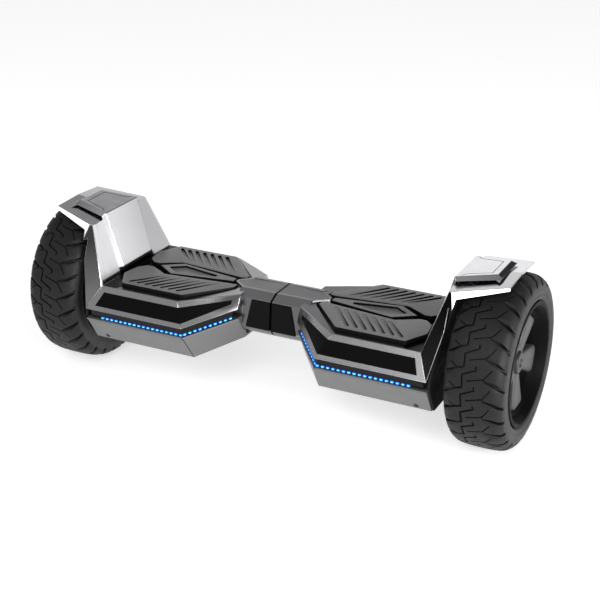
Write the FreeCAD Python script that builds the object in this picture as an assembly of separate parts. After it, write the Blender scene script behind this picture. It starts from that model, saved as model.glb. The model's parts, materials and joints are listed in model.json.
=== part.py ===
import FreeCAD, Part
import os

V = FreeCAD.Vector

# A two-wheeled self-balancing board. +Z is up, +X runs along the axle line to the right half and
# -Y is the front. The origin is on the ground, midway between the wheels.
# Each half is drawn once, on the +X side, and mirrored for the left half.

# ---- driving dimensions, in millimetres -------------------------------------------------------
TYRE_R = 108.0              # 8.5 inch tyre
TYRE_W = 75.0
AXLE_Z = TYRE_R
WHEEL_X = 291.0             # middle of the tyre
SEAM_GAP = 2.0              # slot between the two halves

# The casing's feature lines as (x, y, z) on the front of the right half: where each line meets
# the neck, where it turns the corner, and where it meets the fender.
DECK_Z = 136.8
DECK_LINE = [V(42, -36, 141.5), V(108, -82, DECK_Z), V(220.6, -82, DECK_Z)]
BEZEL_LINE = [V(42, -45, 123.5), V(92.4, -101.6, 109.1), V(235.7, -101.6, 109.1)]
LEDGE_LINE = [V(42, -43.5, 111.0), V(92.0, -100.0, 96.4), V(236, -100.0, 96.4)]
FLOOR_LINE = [V(42, -25.5, 77.6), V(88.2, -78.4, 61), V(236, -78.4, 61)]
FLOOR_Z = 61.0

# neck between the halves, as (half width, height) down one side
NECK = [(19, 144), (33, 138), (35.5, 100), (30.5, 92.5), (21, 85.6)]
NECK_END = 50.0
NECK_SPLIT = 99.0           # height where the upper casing meets the lower one inside the neck
CREST = [(NECK_END, 17), (67, 3)]   # raised top of the neck, narrowing over the deck

WALL = 3.0                  # casing wall
DECK_WALL = 5.0
CASING_END = 236.0          # outer end of the casing, beside the tyre
CASING_HALF = 120.0         # clear of the casing's half depth
PAD_MARGIN = 3.5            # sunken flat round each pad
INSERT_DEPTH = 1.7          # recess for the gloss panel

# fender: corner points on the front of the right half
FENDER_IN = [V(220.6, -82, DECK_Z), V(244, -54, 215.3)]        # edge of the wall beside the deck
FENDER_A = [V(221.2, -84.5, 136), V(246, -60.5, 215.9)]        # upper edge of the dark cheek
FENDER_B = [V(236, -101.6, 110), V(254.6, -66.6, 203.1)]       # lower edge of the dark cheek
ROOF_TOP = V(311, -41, 224.6)                                  # outer corner of the flat top
ROOF_BAND = [V(310.7, -44.2, 222.8), V(306.7, -53.4, 215.7)]   # outer end of the sloping band
TYRE_GAP = 2.8              # fender to tread
FENDER_WALL = 3.0
PANEL_FOOT = 146.0          # lowest edge of the raised panel on the fender's wall
PANEL_TIP = 295.0           # its outer edge on the roof
PANEL_GAP = 0.9             # open line round it

# foot pads: corner points (x, y) of the front pad of the right half, and its heights
PAD = [(60, -13), (60, -20), (107, -73), (197, -73), (213, -43), (212, -34), (209, -17),
       (199, -7), (190, -6.5), (163, -22.5), (68, -11.5)]
PAD_TOP = 142.5
PAD_FOOT = DECK_Z - 1.4
PAD_TRAVEL = 1.2
PAD_GAP = 0.6
GROOVES = 7
GROOVE_W = 5.6
GROOVE_DEPTH = 2.2
GROOVE_PITCH = 14.3
SPEAR = [(70, -5), (157, -19.0), (184, 0)]      # trim between the pads, half outline
SPEAR_TOP = 143.0

# lights
LED_SIZE = V(4.4, 1.8, 2.4)
LEDS_STRAIGHT = 18
LEDS_FLARE = 10
LED_PITCH = 6.9
LED_RECESS = 2.15           # lens behind the face of the channel
LED_LIFT = 0.6              # above the ledge

# running gear
AXLE_R = 8.0
AXLE_HOLE_R = 11.0          # where the axle leaves the casing
TUBE_R = 15.0
TUBE_END = 62.0              # on the left; on the right it runs on to its retaining ring
BUSH_CLEARANCE = 0.05
BUSH_WALL = 2.0
BUSH_END = 74.0
STATOR_R = 52.0
MOTOR_R = 60.0
RIM_R = 71.0
FLANGE_R = 77.0
BEAD_GAP = 0.3
RIM_ENDS = (WHEEL_X - TYRE_W / 2 + 1.0, WHEEL_X + TYRE_W / 2 - 1.0)
MOTOR_WEB = 301.5           # outer face of the drum's web
DRUM_R = 55.0               # bore of the drum
COVER_R = 64.0
COVER_T = 6.0

X, Y, Z = V(1, 0, 0), V(0, 1, 0), V(0, 0, 1)


# ---- helpers ----------------------------------------------------------------------------------
def quad(a, b, c, d):
    """A face through four corners: flat if they share a plane, otherwise ruled."""
    normal = (b - a).cross(c - a)
    if normal.Length < 1e-6:
        return Part.Face(Part.makePolygon([a, c, d, a]))
    if abs((d - a).dot(normal.normalize())) < 1e-6:
        return Part.Face(Part.makePolygon([a, b, c, d, a]))
    return Part.makeRuledSurface(Part.makeLine(a, b), Part.makeLine(d, c))


def skin(rings):
    """Solid whose skin joins each ring of corners to the next, with a flat cap at both ends."""
    faces = [Part.Face(Part.makePolygon(ring + [ring[0]])) for ring in (rings[0], rings[-1])]
    for near, far in zip(rings, rings[1:]):
        for i in range(len(near)):
            j = (i + 1) % len(near)
            faces.append(quad(near[i], near[j], far[j], far[i]))
    shell = Part.makeShell(faces)
    shell.sewShape()
    solid = Part.makeSolid(shell)
    if solid.Volume < 0:
        solid.reverse()
    return solid


def mirror_y(point):
    return V(point.x, -point.y, point.z)


def closed(points):
    """Front corners from the top down, continued up the back."""
    return points + [mirror_y(p) for p in reversed(points)]


def lerp(a, b, t):
    return a + (b - a) * t


def plan_prism(points, z0, z1):
    """Upright prism over an outline of (x, y) points."""
    wire = Part.makePolygon([V(x, y, z0) for x, y in points + [points[0]]])
    return Part.Face(wire).extrude(V(0, 0, z1 - z0))


def offset_plan(points, distance):
    """The same outline grown (or shrunk) by a distance, with mitred corners."""
    wire = Part.makePolygon([V(x, y, 0) for x, y in points + [points[0]]])
    grown = Part.Face(wire).makeOffset2D(distance, 2)
    corners = [v.Point for v in grown.OuterWire.OrderedVertexes]
    return [(p.x, p.y) for p in corners]


def half_space(point, normal, size=900):
    """A large block on the side of a plane that the normal points to."""
    block = Part.makeBox(size, size, size, V(-size / 2, -size / 2, 0))
    turn = FreeCAD.Rotation(Z, normal)
    block.Placement = FreeCAD.Placement(point, turn)
    return block


def rod(radius, start, end, y=0, z=AXLE_Z):
    """Cylinder along X."""
    return Part.makeCylinder(radius, end - start, V(start, y, z), X)


def tube(outer, inner, start, end, z=AXLE_Z):
    return rod(outer, start, end, z=z).cut(rod(inner, start - 1, end + 1, z=z))


def box(x0, x1, y0, y1, z0, z1):
    return Part.makeBox(x1 - x0, y1 - y0, z1 - z0, V(x0, y0, z0))


def spun(profile, x=0.0):
    """Solid of revolution about the axle, from (x, radius) points."""
    points = [V(x + px, 0, AXLE_Z + r) for px, r in profile]
    face = Part.Face(Part.makePolygon(points + [points[0]]))
    return face.revolve(V(0, 0, AXLE_Z), X, 360)


def fuse(shapes):
    result = shapes[0].multiFuse(shapes[1:]) if len(shapes) > 1 else shapes[0]
    return result.removeSplitter()


def group(shapes):
    return Part.makeCompound(shapes)


def rounded(shape, radius, keep):
    """Fillet the edges that a test picks."""
    edges = [e for e in shape.Edges if keep(e)]
    return shape.makeFillet(radius, edges) if edges else shape


# ---- casing ----------------------------------------------------------------------------------
def outward(upper, lower, part):
    """Unit normal of the casing face between two lines: part 0 is the flare, 1 the straight."""
    along = lower[part + 1] - lower[part]
    down = lower[1] - upper[1]
    normal = along.cross(down)
    normal.normalize()
    return normal if normal.y < 0 else normal * -1


def corner_offset(upper, lower):
    """Offset at the corner that moves both faces out by one unit."""
    flare, straight = outward(upper, lower, 0), outward(upper, lower, 1)
    return (flare + straight) * (1 / (1 + flare.dot(straight)))


def strip(upper, lower, top, bottom, inner, outer, start=0.0, end=1.0, taper=None):
    """Band on a casing face, wrapping the corner.

    top and bottom are fractions of the way down the face, inner and outer are distances along
    its normal, start and end are fractions of the flare and of the straight. taper gives other
    top and bottom fractions for the neck end."""
    offsets = [outward(upper, lower, 0), corner_offset(upper, lower), outward(upper, lower, 1)]
    rows = []
    for station, offset in enumerate(offsets):
        high, low = taper if taper and station == 0 else (top, bottom)
        if station == 0:
            up, down = lerp(upper[0], upper[1], start), lerp(lower[0], lower[1], start)
        elif station == 1:
            up, down = upper[1], lower[1]
        else:
            up, down = lerp(upper[1], upper[2], end), lerp(lower[1], lower[2], end)
        edge_high, edge_low = lerp(up, down, high), lerp(up, down, low)
        rows.append([edge_high + offset * outer, edge_low + offset * outer,
                     edge_low + offset * inner, edge_high + offset * inner])
    return skin(rows)


def inset(line, inward, down=0.0):
    """A feature line moved into the casing."""
    neck, corner, end = line
    return [neck + V(0, inward, -down), corner + V(inward * 0.6, inward, -down),
            end + V(0, inward, -down)]


def band_solid(upper, lower):
    """Closed block between two feature lines and their mirror lines at the back."""
    return skin([closed([up, low]) for up, low in zip(upper, lower)])


def neck_ring(x, grow=0.0):
    middle = 115.0
    ring = []
    for half, z in NECK:
        lift = grow if z > middle else -grow
        ring.append(V(x, -(half + grow), z + lift))
    return closed(ring)


def neck_block(start, end, grow=0.0):
    return skin([neck_ring(start, grow), neck_ring(end, grow)])


def crest_block():
    """Raised top of the neck, which narrows to a blunt point over the deck."""
    start, foot = SEAM_GAP / 2, DECK_Z - 4
    top = [V(start, -19, 144), V(CREST[0][0], -CREST[0][1], 143.2),
           V(CREST[1][0], -CREST[1][1], 142.7)]
    low = [V(start, -19, foot), V(CREST[0][0] + 1, -CREST[0][1] - 5, foot),
           V(CREST[1][0] + 3, -CREST[1][1] - 1, foot)]
    return skin([closed([t, b]) for t, b in zip(top, low)])


def mirrored_pads():
    return [PAD, [(x, -y) for x, y in PAD]]


def spear_outline():
    return SPEAR + [(x, -y) for x, y in reversed(SPEAR[:-1])]


def upper_casing():
    outer = fuse([band_solid(DECK_LINE, BEZEL_LINE), neck_block(SEAM_GAP / 2, NECK_END)])
    for sunk in mirrored_pads() + [spear_outline()]:
        outer = outer.cut(plan_prism(offset_plan(sunk, PAD_MARGIN), DECK_Z, DECK_Z + 20))
    outer = fuse([outer, crest_block()])
    outer = outer.cut(lower_block())
    cavity = band_solid(inset(DECK_LINE, 4.2, DECK_WALL), inset(BEZEL_LINE, 4.2, 0.0))
    cavity = cavity.fuse(band_solid(inset(BEZEL_LINE, 4.2, 0.0), inset(BEZEL_LINE, 4.4, 30)))
    cavity = cavity.common(box(20, CASING_END - 4, -CASING_HALF, CASING_HALF, 60, 140))
    hollow_neck = neck_block(SEAM_GAP / 2 - 1, 60, -WALL)
    outer = outer.cut(cavity).cut(hollow_neck)
    for sign in (-1, 1):
        recess = strip(DECK_LINE, BEZEL_LINE, 0.235, 0.815, -INSERT_DEPTH, 6, 0.12, 0.93,
                       (0.30, 0.52))
        outer = outer.cut(recess if sign < 0 else flip_y(recess))
    for pad in mirrored_pads():
        well = PAD_FOOT - PAD_TRAVEL - 0.4
        outer = outer.cut(plan_prism(offset_plan(pad, PAD_GAP), well, DECK_Z + 9))
    for x, y in peg_spots():
        for side in (-1, 1):
            outer = outer.cut(Part.makeCylinder(3.6, 20, V(x, side * y, DECK_Z - 15)))
    outer = outer.cut(top_panel_shape(0.25, 141.5, 150))
    outer = outer.cut(rod(AXLE_HOLE_R, 225, 240))
    for side in (-1, 1):
        outer = outer.cut(neck_insert_shape(side, 0.2, 0.2))
    return outer.removeSplitter()


def flip_y(shape):
    return shape.mirror(V(0, 0, 0), Y)


def lower_block():
    """Everything below the parting line: the ledge face and the sloping lower panel."""
    body = band_solid(LEDGE_LINE, FLOOR_LINE)
    neck = neck_block(SEAM_GAP / 2, NECK_END).cut(half_space(V(0, 0, NECK_SPLIT), Z))
    return fuse([body, neck])


def lower_casing():
    shell = lower_block()
    cavity = band_solid(inset(LEDGE_LINE, 3.4, -8), inset(FLOOR_LINE, 3.4, -WALL))
    cavity = cavity.common(box(20, CASING_END - WALL, -CASING_HALF, CASING_HALF, 50, 140))
    shell = shell.cut(cavity).cut(neck_block(SEAM_GAP / 2 - 1, 60, -WALL))
    ledge = band_solid(LEDGE_LINE, inset(LEDGE_LINE, 0, 2.5))
    ledge = ledge.cut(band_solid(inset(LEDGE_LINE, 14, -20), inset(LEDGE_LINE, 14, 20)))
    ledge = ledge.cut(neck_block(0, 60, -WALL))
    ledge = ledge.common(box(20, CASING_END, -CASING_HALF, CASING_HALF, 50, 140))
    shell = fuse([shell, ledge])
    for spot in screw_spots():
        shell = shell.cut(screw_shape(spot, 0.3))
    for side in (-1, 1):
        shell = shell.cut(neck_insert_shape(side, 0.2, 0.2))
    return shell.cut(rod(AXLE_HOLE_R, 225, 240))


def screw_spots():
    """Casing screws: foot of each sloping panel near the wheel, and the flat underside."""
    slope = outward(LEDGE_LINE, FLOOR_LINE, 1)
    seat = lerp(LEDGE_LINE[2], FLOOR_LINE[2], 0.85) + V(-18.6, 0, 0)
    spots = [(seat, slope), (mirror_y(seat), mirror_y(slope))]
    for x in (112, 205):
        for y in (-58, 58):
            spots.append((V(x, y, FLOOR_Z), V(0, 0, -1)))
    return spots


def screw_shape(spot, gap=0.0):
    """Pan head sunk in the casing, with its shank reaching inward."""
    seat, normal = spot
    head = Part.makeCylinder(3.2 + gap, 2.0 + 2 * gap, seat - normal * (2.2 + gap), normal)
    shank = Part.makeCylinder(1.5 + gap, 10, seat - normal * 12, normal)
    drive = Part.makeCylinder(1.2, 1.2, seat - normal * 1.2, normal)
    screw = head.fuse(shank).removeSplitter()
    return screw if gap else screw.cut(drive)


def casing_screws():
    return group([screw_shape(spot) for spot in screw_spots()])


def face_insert():
    """Gloss panel let into the bezel, wrapping the corner and tapering to the neck."""
    return strip(DECK_LINE, BEZEL_LINE, 0.245, 0.805, 0.2 - INSERT_DEPTH, 0.2, 0.13, 0.925,
                 (0.31, 0.51))


def channel_bar():
    """Dark strip at the back of the light channel."""
    return strip(BEZEL_LINE, LEDGE_LINE, 0.05, 0.95, -7.5, -4.2, 0.08, 0.965)


def leds():
    """Row of oblong lamps low in the channel, along the straight and up the flare."""
    lamps = []
    for part, count, first in ((1, LEDS_STRAIGHT, 0.5), (0, LEDS_FLARE, 0.75)):
        normal = outward(BEZEL_LINE, LEDGE_LINE, part)
        corner, far = LEDGE_LINE[1], LEDGE_LINE[2 if part else 0]
        along = (far - corner)
        along.normalize()
        turn = FreeCAD.Rotation(along if part else along * -1, normal * -1, Z, "XYZ")
        for i in range(count):
            lamp = Part.makeBox(LED_SIZE.x, LED_SIZE.y, LED_SIZE.z, V(-LED_SIZE.x / 2, 0, 0))
            place = corner + along * (LED_PITCH * (i + first)) + V(0, 0, LED_LIFT)
            place = place - normal * LED_RECESS
            lamp.Placement = FreeCAD.Placement(place, turn)
            lamps.append(lamp)
    return group(lamps)


def top_panel_shape(grow, z0, z1):
    """Panel on the neck: a blunt arrow pointing at the wheel."""
    start = SEAM_GAP / 2 + 1.5 - grow
    outline = [(start, -14.5 - grow), (48.5, -14 - grow), (63 + grow, -1.5), (63 + grow, 1.5),
               (48.5, 14 + grow), (start, 14.5 + grow)]
    return plan_prism(outline, z0, z1)


def top_panel():
    crown = skin([closed([V(x, -16, z), V(x, -16, 130)])
                  for x, z in ((0, 144.1), (NECK_END, 143.3), (67, 142.8))])
    return top_panel_shape(0, 141.8, 150).common(crown)


def neck_insert_shape(side, grow=0.0, out=0.0):
    """Black panel on the neck's side, wider at the foot."""
    lean = (35.5 - 33.0) / 38.0
    rings = []
    for z, end in ((136 + grow, 27.5 + grow), (98.8 - grow, 35.5 + grow)):
        face = 33.0 + lean * (138 - z)
        start = SEAM_GAP / 2 + 0.4 - grow
        front, behind = -face - 1.8 - out, -face + 1.6 + grow
        rings.append([V(start, front, z), V(end, front, z), V(end, behind, z),
                      V(start, behind, z)])
    shape = skin(rings)
    return shape if side < 0 else flip_y(shape)


def neck_inserts():
    return group([neck_insert_shape(-1), neck_insert_shape(1)])


# ---- fender ----------------------------------------------------------------------------------
def plane_of(a, b, c, inside):
    normal = (b - a).cross(c - a)
    normal.normalize()
    return (a, normal if (inside - a).dot(normal) > 0 else normal * -1)


def fender_planes():
    """Planes round the fender, each as a point and the normal that points into it."""
    middle = V(275, 0, 190)
    inner = plane_of(FENDER_IN[0], FENDER_IN[1], mirror_y(FENDER_IN[1]), middle)
    top = plane_of(FENDER_IN[1], mirror_y(FENDER_IN[1]), ROOF_TOP, middle)
    front = [plane_of(FENDER_A[0], FENDER_A[1], FENDER_B[0], middle),
             plane_of(FENDER_A[1], ROOF_BAND[0], FENDER_B[1], middle),
             plane_of(FENDER_IN[0], FENDER_IN[1], FENDER_A[1], middle),
             plane_of(FENDER_IN[1], ROOF_TOP, FENDER_A[1], middle)]
    back = [(mirror_y(p), mirror_y(n)) for p, n in front]
    return [inner, top] + front + back


def fender_block(shrink, end):
    block = box(200, end, -130, 130, 90, 260)
    for point, normal in fender_planes():
        block = block.cut(half_space(point + normal * shrink, normal * -1))
    return block


def roof_cut(drop=0.0):
    """Everything below the lower edge of the roof, out beyond the wheel-side wall."""
    a, b = FENDER_B[1], ROOF_BAND[1]
    slope = V(b.x - a.x, 0, b.z - a.z)
    slope.normalize()
    down = V(slope.z, 0, -slope.x)
    return half_space(a + down * drop, down).common(box(FENDER_B[1].x, 400, -150, 150, 0, 300))


def fender_shell():
    shell = fender_block(0, ROOF_TOP.x).cut(fender_block(FENDER_WALL, 400))
    shell = shell.cut(roof_cut())
    shell = shell.cut(rod(TYRE_R + TYRE_GAP, 247.5, 340))
    shell = shell.cut(half_space(FENDER_B[0], V(0, 0, -1)))
    shell = shell.cut(casing_end(0.05).common(box(200, 240, -150, 150, 90, DECK_Z)))
    wheel_side = plane_of(FENDER_B[0], FENDER_B[1], mirror_y(FENDER_B[0]), V(200, 0, 150))
    lower = half_space(wheel_side[0], wheel_side[1] * -1).common(box(200, 262, -150, 150, 90, 203.1))
    return shell.cut(lower).cut(panel_bed()).removeSplitter()


def casing_end(gap):
    """Everything inboard of the slanted outer end of the deck and bezel."""
    deck, bezel = DECK_LINE[2], BEZEL_LINE[2]
    inboard = V(deck.z - bezel.z, 0, bezel.x - deck.x) * -1
    return half_space(V(deck.x, 0, deck.z) - inboard.normalize() * gap, inboard)


def wall_point(y, z, out=0.0):
    """Point on the fender wall beside the deck, raised from it by a distance."""
    low, high = FENDER_IN
    lean = (high.x - low.x) / (high.z - low.z)
    raise_by = V(-1, 0, lean)
    raise_by.normalize()
    return V(low.x + lean * (z - low.z), y, z) + raise_by * out


def roof_point(x, y, out=0.0):
    low, high = FENDER_IN[1], ROOF_TOP
    lean = (high.z - low.z) / (high.x - low.x)
    return V(x, y, low.z + lean * (x - low.x) + out)


def fold_point(y, out):
    """Point where the raised wall and the raised roof meet."""
    corner = FENDER_IN[1]
    wall = wall_point(y, corner.z, 1.0) - V(corner.x, y, corner.z)
    roof = V(corner.z - ROOF_TOP.z, 0, ROOF_TOP.x - corner.x)
    roof.normalize()
    mitre = (wall + roof) * (1 / (1 + wall.dot(roof)))
    return V(corner.x, y, corner.z) + mitre * out


def saddle(inner, outer, edge, grow=0.0):
    """Raised panel that folds from the fender's wall over on to its roof."""
    foot, tip = PANEL_FOOT - grow, PANEL_TIP + grow
    rings = []
    for place, half, slope in ((lambda y, out: wall_point(y, foot, out), 38, edge),
                               (fold_point, 41, edge),
                               (lambda y, out: roof_point(tip - 6, y, out), 31.5, edge * 2),
                               (lambda y, out: roof_point(tip, y, min(out, inner + 0.6)), 30, 4)):
        rings.append([place(-half - grow, inner), place(half + grow, inner),
                      place(half - slope, outer), place(slope - half, outer)])
    return skin(rings)


def panel_bed():
    """Shallow opening in the fender under the raised panel."""
    return saddle(-1.0, 6.0, 0.0, PANEL_GAP)


def fender_panel():
    return saddle(-0.9, 3.6, 4.0).cut(rod(TYRE_R + TYRE_GAP, 247.5, 340))


def wheel_liner():
    """Wall between the casing and the tyre, with a hole for the axle."""
    plate = []
    for x, z, half in ((236.2, 62, 77), (236.2, 99.3, 97.5), (236.4, 110, 97.0), (249.0, 196, 60)):
        plate.append([V(x, -half, z), V(x, half, z), V(x + 2.6, half, z), V(x + 2.6, -half, z)])
    return skin(plate).cut(rod(AXLE_HOLE_R, 225, 250))


# ---- deck furniture ---------------------------------------------------------------------------
def peg_spots():
    """Where each pad's feet pass through the deck to its switches."""
    return [(95, 38), (185, 42)]


def pad_grooves():
    """Slanted drainage channels with a ramped floor, deepest at the outer end."""
    cuts = []
    for i in range(GROOVES):
        inner = V(83.7 + GROOVE_PITCH * 0.92 * i, -20.4 - 1.6 * i, 0)
        outer = V(119.5 + GROOVE_PITCH * 0.82 * i, -65.0, 0)
        if i == GROOVES - 1:
            inner = inner + V(-4, 0, 0)
        along = outer - inner
        length = along.Length
        side = V(-along.y, along.x, 0) * (GROOVE_W / 2 / length)
        top = V(0, 0, PAD_TOP + 2)
        shallow = V(0, 0, PAD_TOP - 0.2)
        deep = V(0, 0, PAD_TOP - GROOVE_DEPTH)
        near = [inner - side + top, inner + side + top, inner + side + shallow, inner - side + shallow]
        far = [outer - side + top, outer + side + top, outer + side + deep, outer - side + deep]
        cuts.append(skin([near, far]))
    return cuts


def foot_pad(front=True):
    pad = chamfered_plate(PAD, PAD_FOOT, PAD_TOP, 0.9)
    for cut in pad_grooves():
        pad = pad.cut(cut)
    pegs = [Part.makeCylinder(3.0, 12, V(x, -y, PAD_FOOT - 11.5)) for x, y in peg_spots()]
    pad = fuse([pad] + pegs)
    return pad if front else flip_y(pad)


def plan_wire(points, z):
    return Part.makePolygon([V(x, y, z) for x, y in points + [points[0]]])


def chamfered_plate(outline, foot, top, chamfer):
    """Upright plate whose top edge is bevelled all round."""
    plate = plan_prism(outline, foot, top - chamfer)
    rim = plan_wire(outline, top - chamfer)
    crown = plan_wire(offset_plan(outline, -chamfer), top)
    return plate.fuse(Part.makeLoft([rim, crown], True, True))


def spear():
    """Long pointed trim between the pads, with a triangular pocket."""
    body = chamfered_plate(spear_outline(), DECK_Z, SPEAR_TOP, 0.8)
    pocket = [(98, -2.5), (152, -12.5), (170, 0), (152, 12.5), (98, 2.5)]
    return body.cut(plan_prism(pocket, SPEAR_TOP - 3.2, SPEAR_TOP + 2)).removeSplitter()


# ---- chassis and electrics ----------------------------------------------------------------------
def chassis(socket_inner):
    """Cast frame: a ribbed tray, a socket on the swivel tube and a block that carries the axle."""
    tray = box(70, 226, -52, 52, 112, 116)
    tray = tray.cut(box(92, 197, -28, 28, 100, 120)).cut(box(BUSH_END - 1, 93, -22, 22, 100, 120))
    rails = [box(72, 226, y, y + 4, 98, 114) for y in (-51, 47)]
    socket = rod(22, 8, BUSH_END)
    socket = socket.cut(box(0, 100, -30, 30, 80, NECK[-1][1] + WALL + 0.5))
    bridge = box(60, BUSH_END, -44, 44, 96, 120)
    block = box(196, 226, -30, 30, 92, 122)
    solid = fuse([tray, socket, bridge, block] + rails)
    solid = solid.cut(rod(socket_inner, 0, 80))
    solid = solid.cut(rod(AXLE_R + 0.1, 190, 240))
    return solid.cut(box(190, 240, -40, 40, 80, AXLE_Z + 0.2))


def axle_clamp():
    """Cap bolted up under the chassis block, gripping the axle."""
    cap = box(198, 226, -29, 29, 94, AXLE_Z - 0.3)
    cap = cap.cut(rod(AXLE_R + 0.1, 190, 240))
    bolts = []
    for x in (205, 223):
        for y in (-20, 20):
            bolts.append(Part.makeCylinder(2.5, 5, V(x, y, 90)))
            bolts.append(Part.makeCylinder(4.2, 3.5, V(x, y, 88.5)))
    return fuse([cap] + bolts)


def axle():
    shaft = rod(AXLE_R, 200, MOTOR_WEB + 0.5)
    collar = rod(12.5, 262, 264.5)
    return fuse([shaft, collar]).cut(rod(3, 196, 268))


def stator():
    """Laminated core with wound teeth, fixed to the axle."""
    core = tube(30, AXLE_R, 268, 296)
    teeth = []
    count = 9
    for i in range(count):
        tooth = box(270, 294, -7, 7, AXLE_Z + 28, AXLE_Z + 47)
        tooth = tooth.fuse(box(268, 296, -13, 13, AXLE_Z + 45, AXLE_Z + STATOR_R - 2))
        tooth = tooth.common(rod(STATOR_R, 260, 300))
        tooth.rotate(V(0, 0, AXLE_Z), X, 360.0 * i / count)
        teeth.append(tooth)
    return fuse([core] + teeth)


def motor_shell():
    """Rim and rotor drum in one, turning on the axle: the tyre's beads sit between its flanges."""
    x0, x1 = RIM_ENDS
    return spun([(x0, COVER_R), (x0, FLANGE_R), (x0 + 3.5, FLANGE_R), (x0 + 5, RIM_R),
                 (x0 + 22, RIM_R - 4), (x1 - 20, RIM_R - 4), (x1 - 5, RIM_R), (x1 - 3.5, FLANGE_R),
                 (x1, FLANGE_R), (x1, FLANGE_R - 5), (x1 - 18, MOTOR_R), (MOTOR_WEB, MOTOR_R),
                 (MOTOR_WEB, AXLE_R + 0.05), (MOTOR_WEB - 3, AXLE_R + 0.05), (MOTOR_WEB - 3, DRUM_R),
                 (x0 + COVER_T, DRUM_R), (x0 + COVER_T, COVER_R)])


def motor_cover():
    """Plate that closes the motor on the board side and turns on the axle."""
    x0 = RIM_ENDS[0]
    return spun([(x0 + 2, AXLE_R + 0.05), (x0 + 2, 20), (x0, 24), (x0, COVER_R),
                 (x0 + COVER_T, COVER_R), (x0 + COVER_T, AXLE_R + 0.05)])


def tyre():
    """Hollow carcass: flat-shouldered crown, round sidewalls and two beads on the rim's seats."""
    w = TYRE_W / 2
    seat = RIM_R + BEAD_GAP
    lip = FLANGE_R - 0.2
    right = [(0, TYRE_R), (w - 15.6, TYRE_R - 0.9), (w - 0.8, 97), (w, 90), (w - 0.5, FLANGE_R + 3),
             (w - 4.9, lip), (w - 9.7, seat), (w - 15, seat + 0.3), (w - 12, 88), (w - 18, 94.5),
             (0, 95.5)]
    left = [(-x, r) for x, r in right[-2:0:-1]]
    return spun(right + left, WHEEL_X)


def wheel_cover():
    """Dished cover with five broad blades round a plain boss."""
    base = MOTOR_WEB + 0.3
    dish = spun([(base, 10), (base, 58), (base + 7.7, 58.8), (base + 15, 63.6), (base + 17, 63.6),
                 (base + 9.5, 57), (base + 3, 54), (base + 3, 10)])
    count = 5
    blades = []
    for i in range(count):
        root = [V(base + 2, -12, AXLE_Z + 14), V(base + 2, 12, AXLE_Z + 14),
                V(base + 9.5, 8, AXLE_Z + 14), V(base + 9.5, -8, AXLE_Z + 14)]
        tip = [V(base + 2, -19, AXLE_Z + 58), V(base + 2, 19, AXLE_Z + 58),
               V(base + 13, 15, AXLE_Z + 58), V(base + 13, -15, AXLE_Z + 58)]
        blade = skin([root, tip]).common(rod(58.5, 290, 330))
        blade.rotate(V(0, 0, AXLE_Z), X, 180 + 360.0 / count * i)
        blades.append(blade)
    boss = spun([(base, 10), (base, 24), (base + 10.3, 20), (base + 10.3, 10)])
    return fuse([dish, boss] + blades)


def hub_cap():
    return spun([(304, 0), (304, 9.8), (312.3, 9.8), (312.3, 15), (314.5, 15), (316, 13), (316, 0)])


def sensor_board():
    """Circuit board under the deck with a switch below each pad foot."""
    board = box(84, 196, -47, 47, 117.2, 118.8)
    board = board.cut(box(104, 176, -30, 30, 110, 125))
    half = 4
    switches = []
    for x, peg_y in peg_spots():
        for y in (-peg_y, peg_y):
            switches.append(box(x - half, x + half, y - half, y + half, 118.8, 122.4))
    chip = box(88, 100, -6, 6, 118.8, 121)
    return fuse([board, chip] + switches)


def battery_pack():
    """Shrink-wrapped pack under the tray, with rounded long edges."""
    pack = box(98, 192, -52, 52, 66, 92)
    return rounded(pack, 9, lambda e: abs(e.tangentAt(e.FirstParameter).x) > 0.99)


def main_board():
    """Motor controller: a board on stand-offs with its heat sink, capacitors and plugs."""
    board = box(100, 190, -45, 45, 74, 75.6)
    parts = [box(106, 184, 20, 40, 75.6, 90)]
    parts += [Part.makeCylinder(7, 15, V(x, -28, 75.6)) for x in (112, 130)]
    parts += [box(x, x + 10, -6, 4, 75.6, 84) for x in (108, 124, 140, 156)]
    foot = FLOOR_Z + WALL
    stands = [Part.makeCylinder(3, 74 - foot, V(x, y, foot)) for x in (106, 184) for y in (-39, 39)]
    return fuse([board] + parts + stands)


def rear_face(x, down, out):
    """Point on the straight bezel face at the back."""
    top, low = mirror_y(DECK_LINE[2]), mirror_y(BEZEL_LINE[2])
    spot = lerp(top, low, down)
    return V(x, spot.y, spot.z) + mirror_y(outward(DECK_LINE, BEZEL_LINE, 1)) * out


def on_rear(x, radius, inner, outer):
    """Cylinder square to the rear bezel face."""
    normal = mirror_y(outward(DECK_LINE, BEZEL_LINE, 1))
    return Part.makeCylinder(radius, outer - inner, rear_face(x, 0.52, inner), normal)


BUTTON_X = 120.0
PORT_X = 152.0
BUTTON_R = 6.5
PORT_R = 8.5


def power_button():
    button = on_rear(BUTTON_X, BUTTON_R, -1.4, 1.5)
    return fuse([button, on_rear(BUTTON_X, 3, -8, -1.4)])


def charge_port():
    """Round three-pin socket with a flange on the panel."""
    flange = on_rear(PORT_X, PORT_R + 1.5, 0.2, 1.4)
    barrel = on_rear(PORT_X, PORT_R - 1, -12, 0.2)
    socket = fuse([flange, barrel]).cut(on_rear(PORT_X, PORT_R - 2.2, -9, 2))
    return socket


def charge_cap():
    """Rubber flap over the socket, hinged along its upper edge."""
    normal = mirror_y(outward(DECK_LINE, BEZEL_LINE, 1))
    lid = on_rear(PORT_X, PORT_R + 2, 1.6, 3.4)
    hinge_at = rear_face(PORT_X, 0.52, 2.5) + upslope() * (PORT_R + 2.5)
    hinge = Part.makeCylinder(1.1, 9, hinge_at - V(4.5, 0, 0), X)
    web = Part.makeBox(8, 4, 1.4, V(-4, -3.4, -0.7))
    web.Placement = FreeCAD.Placement(hinge_at, FreeCAD.Rotation(X, upslope(), normal, "XYZ"))
    return fuse([lid, hinge, web])


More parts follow.
